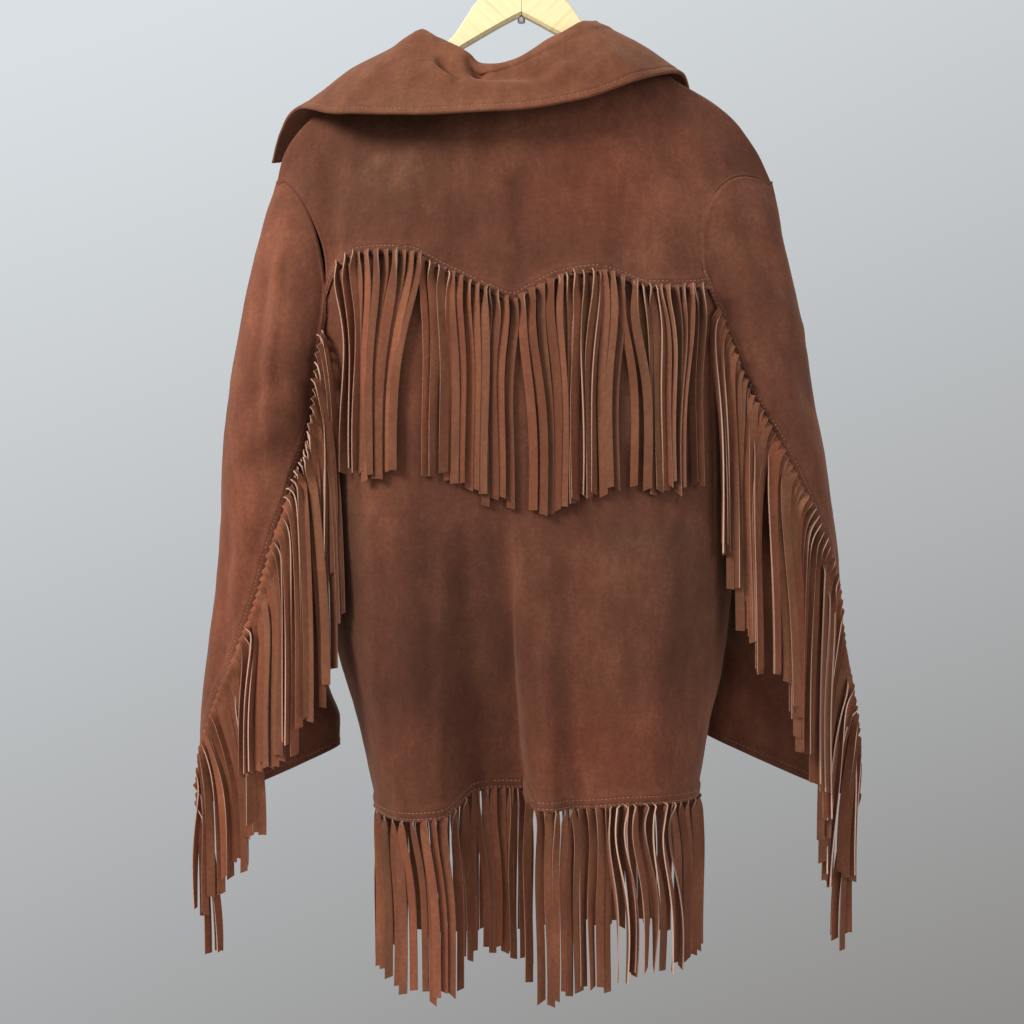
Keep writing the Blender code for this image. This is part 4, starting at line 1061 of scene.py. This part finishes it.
# ---------------------------------------------------------------- stitches
def stitch_line(points, normals, thickness, rng):
    """Centres, directions and outward sides of the stitches along one line of cloth."""
    length = distances(points)
    at = np.arange(STITCH_PITCH, length[-1], STITCH_PITCH)
    at = at[rng.random(len(at)) > SKIPPED]
    outside = points + (0.5 * thickness + 0.15 * THREAD) * normals

    def read(values, where):
        return np.stack([np.interp(where, length, values[:, i]) for i in range(3)], -1)

    centre = read(outside, at)
    ahead = unit(read(outside, at + 0.001) - read(outside, at - 0.001))
    return centre, ahead, unit(read(normals, at))


def make_stitches(name, lines, finish):
    """Short soft dashes of thread, as one mesh."""
    centre, ahead, out = (np.concatenate(part) for part in zip(*lines))
    aside = unit(np.cross(ahead, out))
    rings = [(-0.5, 0.0), (-0.3, 1.0), (0.3, 1.0), (0.5, 0.0)]
    corners = [(0.5, 0.0), (0.0, 0.35), (-0.5, 0.0), (0.0, -0.35)]
    spots = []
    for share, wide in rings:
        middle = centre + share * STITCH * ahead
        for side, high in corners if wide else corners[:1]:
            spots.append(middle + wide * THREAD * (side * aside + high * out))
    count = len(spots)
    vertices = np.stack(spots, 1).reshape(-1, 3)
    shape = [(0, 1 + i, 1 + (i + 1) % 4) for i in range(4)]
    shape += [(1 + i, 5 + i, 5 + (i + 1) % 4, 1 + (i + 1) % 4) for i in range(4)]
    shape += [(5 + i, 9, 5 + (i + 1) % 4) for i in range(4)]
    faces = [tuple(n * count + i for i in face) for n in range(len(centre)) for face in shape]
    piece = make_piece(name, vertices, faces, [finish])
    return piece


# ---------------------------------------------------------------- strips
class Cover:
    """The highest cloth, towards the back, over every cell of x and z."""

    def __init__(self, grids):
        self.shape = tuple((MAP_SIZE / CELL).astype(int))
        high = np.full(self.shape, -1.0)
        for points, normals in grids:
            outside = (points + 0.5 * WALL * normals).reshape(-1, 3)
            np.maximum.at(high, self.cell(outside[:, 0], outside[:, 2]), outside[:, 1])
        for _ in range(2):
            padded = np.pad(high, 1, mode="edge")
            wide, tall = self.shape
            around = product(range(3), repeat=2)
            high = np.max([padded[i:i + wide, j:j + tall] for i, j in around], axis=0)
        self.high = high

    def cell(self, x, z):
        return tuple(
            np.clip(((place - low) / CELL).astype(int), 0, size - 1)
            for place, low, size in zip((x, z), MAP_LOW, self.shape)
        )

    def at(self, x, z):
        return self.high[self.cell(x, z)]


def strip_paths(roots, leave, feet, sway, phase, spring=STRIP_SPRING):
    """Lines from the roots, which spring from the seam in the given directions, and hang to
    their feet (x and z) with a slow sway. y stays at the roots'."""
    share = DOWN_STRIP[None, :, None]
    drop = (roots[:, 2] - feet[:, 1])[:, None]
    foot = np.stack([feet[:, 0], roots[:, 1], feet[:, 1]], -1)
    first = roots + spring * drop * leave
    last = foot + 0.62 * drop * UP
    lines = (1.0 - share) ** 3 * roots[:, None] + 3.0 * share * (1.0 - share) ** 2 * first[:, None]
    lines = lines + 3.0 * share ** 2 * (1.0 - share) * last[:, None] + share ** 3 * foot[:, None]
    share = share[..., 0]
    wave = np.sin(2.0 * np.pi * (0.95 * share + phase[:, None])) * np.sin(np.pi * share)
    lines[..., 0] += sway[:, None] * wave
    return lines


def lay_over(lines, cover, clear):
    """Brings lines that hang on the back out over the cloth that they would cut."""
    high = cover.at(lines[..., 0], lines[..., 2]) + clear
    high[:, 0] = lines[:, 0, 1]
    y = np.maximum.accumulate(np.maximum(high, lines[:, :1, 1]), axis=1)
    for _ in range(3):
        y[:, 1:-1] = 0.25 * y[:, :-2] + 0.5 * y[:, 1:-1] + 0.25 * y[:, 2:]
    lines[..., 1] = y
    return lines


def make_strips(name, lines, across, out, turn, rng, finishes, node, side, edge_pale_and_lit):
    """Flat strips along the lines, turned about them by an angle at every point. Their edges
    are as pale as given: partly the cut edge's own paler colour, partly painted light
    where a strip turns edge on."""
    count, rows = lines.shape[:2]
    ahead = unit(np.gradient(lines, axis=1))
    flat = unit(across - (across * ahead).sum(-1, keepdims=True) * ahead)
    up = np.cross(flat, ahead)
    up = up * np.sign((up * out).sum(-1, keepdims=True))
    cos, sin = np.cos(turn)[..., None], np.sin(turn)[..., None]
    wide, thick = cos * flat + sin * up, cos * up - sin * flat
    lines = lines + 0.5 * STRIP_WIDTH * np.abs(sin) * up
    half = 0.5 * STRIP_WIDTH * rng.uniform(*STRIP_SPREAD, (count, 1, 1)) * np.ones((1, rows, 1))
    slant = rng.normal(0.0, STRIP_SLANT, count)[:, None]
    corners = []
    for a, b in ((1, 1), (-1, 1), (-1, -1), (1, -1)):
        corner = lines + a * half * wide + b * 0.5 * STRIP_THICK * thick
        corner[:, -1] += a * slant * ahead[:, -1]
        corners.append(corner)
    vertices = np.stack(corners, 2).reshape(-1, 3)
    start = np.arange(count)[:, None] * rows * 4 + np.arange(rows - 1) * 4
    quads = [np.stack([start + i, start + (i + 1) % 4, start + 4 + (i + 1) % 4, start + 4 + i], -1)
             for i in range(4)]
    cap = np.arange(count)[:, None] * rows * 4 + np.arange(4)
    faces = np.concatenate([quad.reshape(-1, 4) for quad in quads] + [cap, cap + 4 * (rows - 1)])
    marks = np.zeros(len(faces), int)
    sides = count * (rows - 1)
    marks[sides:2 * sides] = 1
    marks[3 * sides:] = 1
    facing_out = np.broadcast_to(side * BEHIND, vertices.shape)
    tone = np.repeat(rng.normal(0.0, STRIP_TONE, count), rows * 4)
    # The strips take 0.7 of the spots' tone, with its painted light and shade.
    tone = tone + 0.7 * patch_share(vertices, facing_out, "tone")
    # Painted light: a strip's cut edges are painted paler where it turns edge on, over their own paler
    # colour.
    edge_on = ease(0.55, 0.95, np.abs(np.sin(turn)))
    pale = np.clip(edge_pale_and_lit * (0.12 + 0.88 * edge_on * rng.uniform(0.3, 1.0, (count, 1))), 0.0, 1.0)
    warm = 0.8 * patch_share(vertices, facing_out, "warm")
    warm = warm + np.repeat(rng.normal(0.0, STRIP_WARM, count), rows * 4)
    paint = {"tone": tone, "warm": warm, "pale": np.repeat(pale, 4, axis=1)}
    piece = make_piece(name, vertices, faces.tolist(), finishes, marks, **paint)
    piece.data.set_sharp_from_angle(angle=STRIP_SHARP)
    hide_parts(node)
    return piece


def lock_strips(locks, rng):
    """Root x, foot x, foot z, turn, sway and phase of every strip in the locks."""
    rows = []
    for lock in locks:
        count = max(2, int(round(abs(lock.root2 - lock.root1) / STRIP_PITCH)) + 1)
        phase = rng.uniform(0.0, 1.0)
        lean = rng.choice([-1.0, 1.0])
        for share in np.linspace(0.0, 1.0, count):
            root = lock.root1 + share * (lock.root2 - lock.root1)
            foot = lock.foot1 + share * (lock.foot2 - lock.foot1) + rng.normal(0.0, 0.0012)
            high = lock.foot + rng.normal(0.0, 0.0035)
            turn = lean * lock.turn * rng.uniform(0.55, 1.15)
            sway = lock.sway * rng.uniform(0.7, 1.2)
            rows.append((root, foot, high, turn, sway, phase + rng.normal(0.0, 0.05)))
    return np.array(rows).T


def spread_turn(root, below, rng):
    """How a strip turns about itself: edge on just under its root, and then towards its turn
    below, with some wandering."""
    share = DOWN_STRIP[None, :]
    each = (len(root), 1)
    waves = rng.uniform(0.4, 1.0, each)
    wander = np.sin(2.0 * np.pi * (waves * share + rng.uniform(0, 1, each)))
    blend = ease(0.07, rng.uniform(0.22, 0.50, each), share)
    lower = below[:, None] * (1.0 + 0.3 * wander) + 9.0 * wander
    angle = root[:, None] * (1.0 - blend) + lower * blend
    return np.radians(angle) * ease(0.0, 0.065, share)


def stepped(feet, rng):
    """Gathers feet in steps of a few strips, as they were cut and have crept together."""
    feet = feet.copy()
    start = 0
    while start < len(feet):
        stop = start + rng.integers(3, 7)
        middle = feet[start:stop].mean()
        feet[start:stop] = middle + 0.35 * (feet[start:stop] - middle)
        start = stop
    return feet + rng.normal(0.0, 0.0045, len(feet))


def settling(own, common, share):
    """Directions down the strips, from each one's own at its root to a common one."""
    return unit(own[:, None] * (1.0 - share) + common * share)


def layers(count, first):
    """How far out each strip lies, so that neighbours don't share a place."""
    return first + LAYER_STEP * (np.arange(count) % LAYERS)[:, None]


def make_yoke_fringe(cover, finishes):
    rng = np.random.default_rng(11)
    root_x, foot_x, foot_z, turn, sway, phase = lock_strips(YOKE_LOCKS, rng)
    f = np.linspace(-0.999, 0.999, 400)
    edge = yoke_edge(f)
    base = body(back_a(f, edge), edge)
    f_at = np.interp(root_x, base[:, 0], f)
    v = yoke_edge(f_at)
    v = v - ROOT_TUCK / (base[:, 2].mean() - body(0.0, 1.0)[2]) * (1.0 - v)
    a = back_a(f_at, v)
    out = body_normals(a, v)
    roots = body(a, v) + STRIP_LIFT * out
    lines = strip_paths(roots, -UP, np.stack([foot_x, foot_z], -1), sway, phase)
    lines = lay_over(lines, cover, layers(len(roots), YOKE_LAYER))
    angle = spread_turn(np.sign(turn) * rng.uniform(*YOKE_TURN, len(turn)), turn, rng)
    return make_strips(
        "yoke_strips", lines, LEFT, BEHIND, angle, rng, finishes, "yoke_fringe", 1, YOKE_EDGE_PALE_AND_LIT,
    )


def make_sleeve_fringe(word, rows, side, feet, turns, hang, edge_pale_and_lit, cover, finishes):
    rng = np.random.default_rng(21 if side > 0.0 else 22)
    k = np.linspace(0.02, 0.99, 400)
    seam = sleeve(rows, side, smooth(rows, "k", "rear", k), k)
    length = distances(seam)
    at = np.arange(0.5 * STRIP_PITCH, length[-1], STRIP_PITCH)
    k = np.interp(at, length, k)
    u = (k - k[0]) / (k[-1] - k[0])
    rear = smooth(rows, "k", "rear", k)
    out = sleeve_normals(rows, side, rear, k)
    seam = sleeve(rows, side, rear, k)
    run = unit(np.gradient(seam, axis=0))
    leave = unit(np.cross(run, out))
    leave = leave * -np.sign(leave[:, :1] * side)
    roots = seam + STRIP_LIFT * out - ROOT_TUCK * leave
    hung = ease(*hang, u)[:, None]
    roots[:, 0] -= 0.25 * side * STRIP_WIDTH * hung[:, 0]
    fan, fall = (np.interp(u, *np.array(feet).T[[0, column]]) for column in (1, 2))
    knots = np.arange(0.0, at[-1] + 0.05, 0.035)
    clump = np.interp(at, knots, rng.normal(0.0, 0.005, len(knots)))
    foot_x = roots[:, 0] - side * fan + clump + rng.normal(0.0, 0.0022, len(k))
    foot_z = stepped(roots[:, 2] - fall, rng)
    sway = rng.uniform(0.0005, 0.0028, len(k))
    phase = np.interp(at, [0.0, at[-1]], [0.0, 2.5]) + rng.normal(0.0, 0.06, len(k))
    way = np.interp(at, knots, rng.normal(0.0, 1.0, len(knots)))
    way = np.sign(way + 0.4 * rng.normal(0.0, 1.0, len(k)))
    below = smooth(turns, "u", "below", u) * rng.uniform(0.2, 1.3, len(k)) * way
    below = np.where(rng.random(len(k)) < 0.06 + 0.10 * u, 80.0 * way, below)
    loose = 0.6 * ease(0.70, 0.95, u)
    foot_x += loose * rng.normal(0.0, 0.006, len(k))
    foot_z += loose * rng.normal(0.0, 0.012, len(k))
    spring = np.interp(u, (0.55, 0.90), (STRIP_SPRING, 0.040))[:, None]
    leave = unit(leave * (1.0 - hung) - UP * hung)
    lines = strip_paths(roots, leave, np.stack([foot_x, foot_z], -1), sway, phase, spring)
    lines = lay_over(lines, cover, layers(len(k), SLEEVE_LAYER))
    settled = ease(0.05, 0.30, DOWN_STRIP)[None, :, None]
    across, outward = settling(run, side * LEFT, settled), settling(out, BEHIND, settled)
    root = smooth(turns, "u", "root", u) * rng.uniform(0.85, 1.08, len(k))
    angle = spread_turn(root, below, rng)
    return make_strips(
        "sleeve_strips_" + word, lines, across, outward, angle, rng, finishes,
        "sleeve_fringe_" + word, 1, edge_pale_and_lit,
    )


def make_hem_fringe(name, node, a, foot, turn, first_turn, sway, phase, side, rng, finishes):
    """Strips that hang from the hem at places a, with feet in x and z."""
    edge = body(a, 1.0)
    out = body_normals(a, 1.0)
    out[:, 2] = 0.0
    out = unit(out)
    run = unit(np.cross(out, UP))
    run = run * np.sign(run[:, :1] + 1e-9)
    roots = edge + ROOT_TUCK * UP - 0.5 * (WALL + STRIP_THICK) * out + 0.0012 * out
    lines = strip_paths(roots, -UP, foot, sway, phase)
    layer = 0.0014 * (np.arange(len(a)) % LAYERS)[:, None] * ease(0.05, 0.3, DOWN_STRIP)
    lines = lines + layer[..., None] * out[:, None]
    angle = spread_turn(np.sign(turn) * np.maximum(np.abs(turn), first_turn), turn, rng)
    settled = 0.85 * ease(0.02, 0.25, DOWN_STRIP)[None, :, None]
    across, outward = settling(run, LEFT, settled), settling(out, side * BEHIND, settled)
    return make_strips(
        name, lines, across, outward, angle, rng, finishes, node, side, HEM_EDGE_PALE_AND_LIT,
    )


def make_back_hem_fringe(finishes):
    rng = np.random.default_rng(31)
    root_x, foot_x, foot_z, turn, sway, phase = lock_strips(HEM_LOCKS, rng)
    a = np.linspace(-0.995, 0.995, 800)
    edge = body(a, 1.0)[:, 0]
    order = np.argsort(edge)
    a_at = np.interp(root_x, edge[order], a[order])
    foot = np.stack([foot_x, foot_z], -1)
    return make_hem_fringe(
        "hem_strips_back", "hem_fringe_back", a_at, foot, turn, BACK_HEM_TURN, sway, phase, 1,
        rng, finishes,
    )


def make_front_hem_fringe(word, sign, finishes):
    rng = np.random.default_rng(32 if sign > 0.0 else 33)
    a = np.linspace(2.0 - FRONT_OPENING, 1.0, 300)
    edge = body(sign * a, 1.0)
    length = distances(edge)
    at = np.arange(0.5 * STRIP_PITCH, length[-1] - 0.3 * STRIP_PITCH, STRIP_PITCH)
    a = sign * np.interp(at, length, a)
    edge = body(a, 1.0)
    knots = np.arange(0.0, at[-1] + 0.04, 0.03)
    lean = np.interp(at, knots, rng.normal(0.0, 0.0015, len(knots)))
    foot_x = edge[:, 0] + lean + rng.normal(0.0, 0.0012, len(a))
    foot_z = edge[:, 2] - HEM_FRINGE + FRONT_HEM_SHORT + rng.normal(0.0, 0.005, len(a))
    turn = rng.choice([-1.0, 1.0]) * np.interp(at, knots, rng.uniform(2.0, 16.0, len(knots)))
    sway = rng.uniform(0.0005, 0.002, len(a))
    phase = np.interp(at, [0.0, at[-1]], [0.0, 1.6]) + rng.normal(0.0, 0.05, len(a))
    foot = np.stack([foot_x, foot_z], -1)
    return make_hem_fringe(
        "hem_strips_front_" + word, "hem_fringe_front_" + word, a, foot, turn, FRONT_HEM_TURN,
        sway, phase, -1, rng, finishes,
    )


def make_panels(cloth):
    """Every panel but the collar, by its node: the piece, its grid and its normals."""
    plans = [
        ("back_yoke", yoke_place, (110, 44), ("sewn", "lapped", "sewn", "sewn")),
        ("back_panel", back_place, (130, 96), ("under", "lapped", "sewn", "sewn")),
    ]
    for word, side in SIDES:
        edges = ("sewn", "lapped", "faced", "sewn")
        plans.append(("front_" + word, front_place(side), (50, 130), edges))
    for (word, side), rows in zip(SIDES, (LEFT_SLEEVE, RIGHT_SLEEVE)):
        for part, count, edges in (
            ("upper", (50, 130), ("sewn", "faced", "lapped", "sewn")),
            ("under", (46, 110), ("sewn", "faced", "sewn", "under")),
        ):
            place = sleeve_place(rows, side, part == "upper")
            plans.append(("sleeve_%s_%s" % (part, word), place, count, edges))
    panels = {}
    for node, place, count, edges in plans:
        stem, _, word = node.rpartition("_")
        name = stem + "_cloth_" + word if word in ("left", "right") else node + "_cloth"
        panels[node] = make_panel(name, node, place, count, edges, cloth)
    return panels


def make_jacket(finish):
    strips = [finish["fringe"], finish["edge"]]
    rng = np.random.default_rng(5)
    panels = make_panels([finish["suede"], finish["hem_edge"]])
    yoke, back = panels["back_yoke"], panels["back_panel"]
    collar = make_collar([finish["collar"], finish["collar"]])

    around = Cover([panel[1:] for node, panel in panels.items() if "front" not in node])
    yoke_strips = make_yoke_fringe(Cover([back[1:], yoke[1:]]), strips)
    habits = (
        (LEFT_SLEEVE, 1.0, LEFT_FEET, LEFT_TURNS, LEFT_HANG, 0.75),
        (RIGHT_SLEEVE, -1.0, RIGHT_FEET, RIGHT_TURNS, RIGHT_HANG, 1.3),
    )
    sleeve_strips = {
        word: make_sleeve_fringe(word, *habit, around, strips)
        for (word, _), habit in zip(SIDES, habits)
    }
    hem_strips = make_back_hem_fringe(strips)
    front_strips = {word: make_front_hem_fringe(word, side, strips) for word, side in SIDES}

    def foot_lines(panel, rows, wall=WALL):
        return [stitch_line(panel[1][-1 - row], panel[2][-1 - row], wall, rng) for row in rows]

    def side_lines(panel, rows, wall=WALL):
        return [stitch_line(panel[1][:, row], panel[2][:, row], wall, rng) for row in rows]

    def sew(name, lines):
        return make_stitches(name, lines, finish["thread"])

    yoke_stitches = sew("yoke_stitching", foot_lines(yoke, LAPPED_ROWS))
    hem_stitches = sew("back_hem_stitching", foot_lines(back, LAPPED_ROWS))
    for word, _ in SIDES:
        front = panels["front_" + word]
        lines = foot_lines(front, LAPPED_ROWS) + side_lines(front, FACED_ROWS)
        sew("front_stitching_" + word, lines)
    for word, _ in SIDES:
        upper, under = (panels["sleeve_%s_%s" % (part, word)] for part in ("upper", "under"))
        lines = side_lines(upper, LAPPED_ROWS) + foot_lines(upper, FACED_ROWS)
        sew("sleeve_stitching_" + word, lines)
        sew("cuff_stitching_" + word, foot_lines(under, FACED_ROWS))
    lines = foot_lines(collar, FACED_ROWS, COLLAR_WALL + 0.0002)
    lines += side_lines(collar, (FACED_ROWS[0], -1 - FACED_ROWS[0]), COLLAR_WALL)
    sew("collar_stitching", lines)


def finish_hanger(finish):
    for node, key in (
        ("hanger_left", "wood_left"), ("hanger_right", "wood_right"),
        ("hanger_hook", "steel"), ("hanger_nut", "steel"),
    ):
        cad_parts[node].material_slots[0].material = finish[key]


# ---------------------------------------------------------------- studio
def add_camera():
    data = bpy.data.cameras.new("camera")
    data.sensor_width = 36.0
    data.lens = LENS
    camera = bpy.data.objects.new("camera", data)
    camera.location = CAMERA
    camera.rotation_euler = (0.5 * np.pi, 0.0, np.pi)
    bpy.context.scene.collection.objects.link(camera)
    bpy.context.scene.camera = camera


def add_light(row):
    data = bpy.data.lights.new(row.name, "AREA")
    data.shape = "DISK"
    data.size = row.size
    data.energy = row.power
    data.color = row.colour
    light = bpy.data.objects.new(row.name, data)
    light.location = row.place
    towards = np.array(AIM) - np.array(row.place)
    flat = np.hypot(towards[0], towards[1])
    tilt = 0.5 * np.pi + np.arctan2(towards[2], flat)
    light.rotation_euler = (tilt, 0.0, np.arctan2(-towards[0], towards[1]))
    bpy.context.scene.collection.objects.link(light)


def add_world():
    """A soft room, lighter towards its top and the wearer's left."""
    g = Graph(bpy.data.worlds.new("studio"))
    parts = g.add("ShaderNodeSeparateXYZ", Vector=g.spots["Generated"]).outputs
    aside = g.math("MULTIPLY_ADD", parts["X"], 0.45, 0.52)
    level = g.math("MULTIPLY_ADD", parts["Z"], 1.15, aside)
    low, high = (0.272, 0.264, 0.258), (0.700, 0.740, 0.770)
    bpy.context.scene.world = g.finish(Color=g.ramp(level, (0.0, low), (1.0, high)), Strength=1.0)


def add_floor():
    """A plain pale disc, well below the fringe."""
    turn = np.linspace(0.0, 2.0 * np.pi, 97)[:-1]
    rings = [FLOOR_RADIUS * share for share in (0.25, 0.5, 0.75, 1.0)]
    vertices = [(0.0, 0.0, FLOOR_Z)]
    for radius in rings:
        vertices += [(radius * np.cos(t), radius * np.sin(t), FLOOR_Z) for t in turn]
    count = len(turn)
    faces = [(0, 1 + i, 1 + (i + 1) % count) for i in range(count)]
    for ring in range(len(rings) - 1):
        start = 1 + ring * count
        for i in range(count):
            j = (i + 1) % count
            faces.append((start + i, start + count + i, start + count + j, start + j))
    mesh = bpy.data.meshes.new("floor")
    mesh.from_pydata(vertices, [], faces)
    g = material("floor_paint")
    grey, pale = (0.60, 0.61, 0.62), (0.64, 0.65, 0.66)
    colour = g.ramp(g.noise(g.place, 6.0, 3.0), (0.3, grey), (0.7, pale))
    mesh.materials.append(g.finish(Base_Color=colour, Roughness=0.8))
    floor = bpy.data.objects.new("floor", mesh)
    bpy.context.scene.collection.objects.link(floor)


def main():
    bpy.context.scene.view_settings.view_transform = "Standard"
    add_camera()
    finish = make_finishes()
    make_jacket(finish)
    finish_hanger(finish)
    add_world()
    add_floor()
    for row in LIGHTS:
        add_light(row)


main()
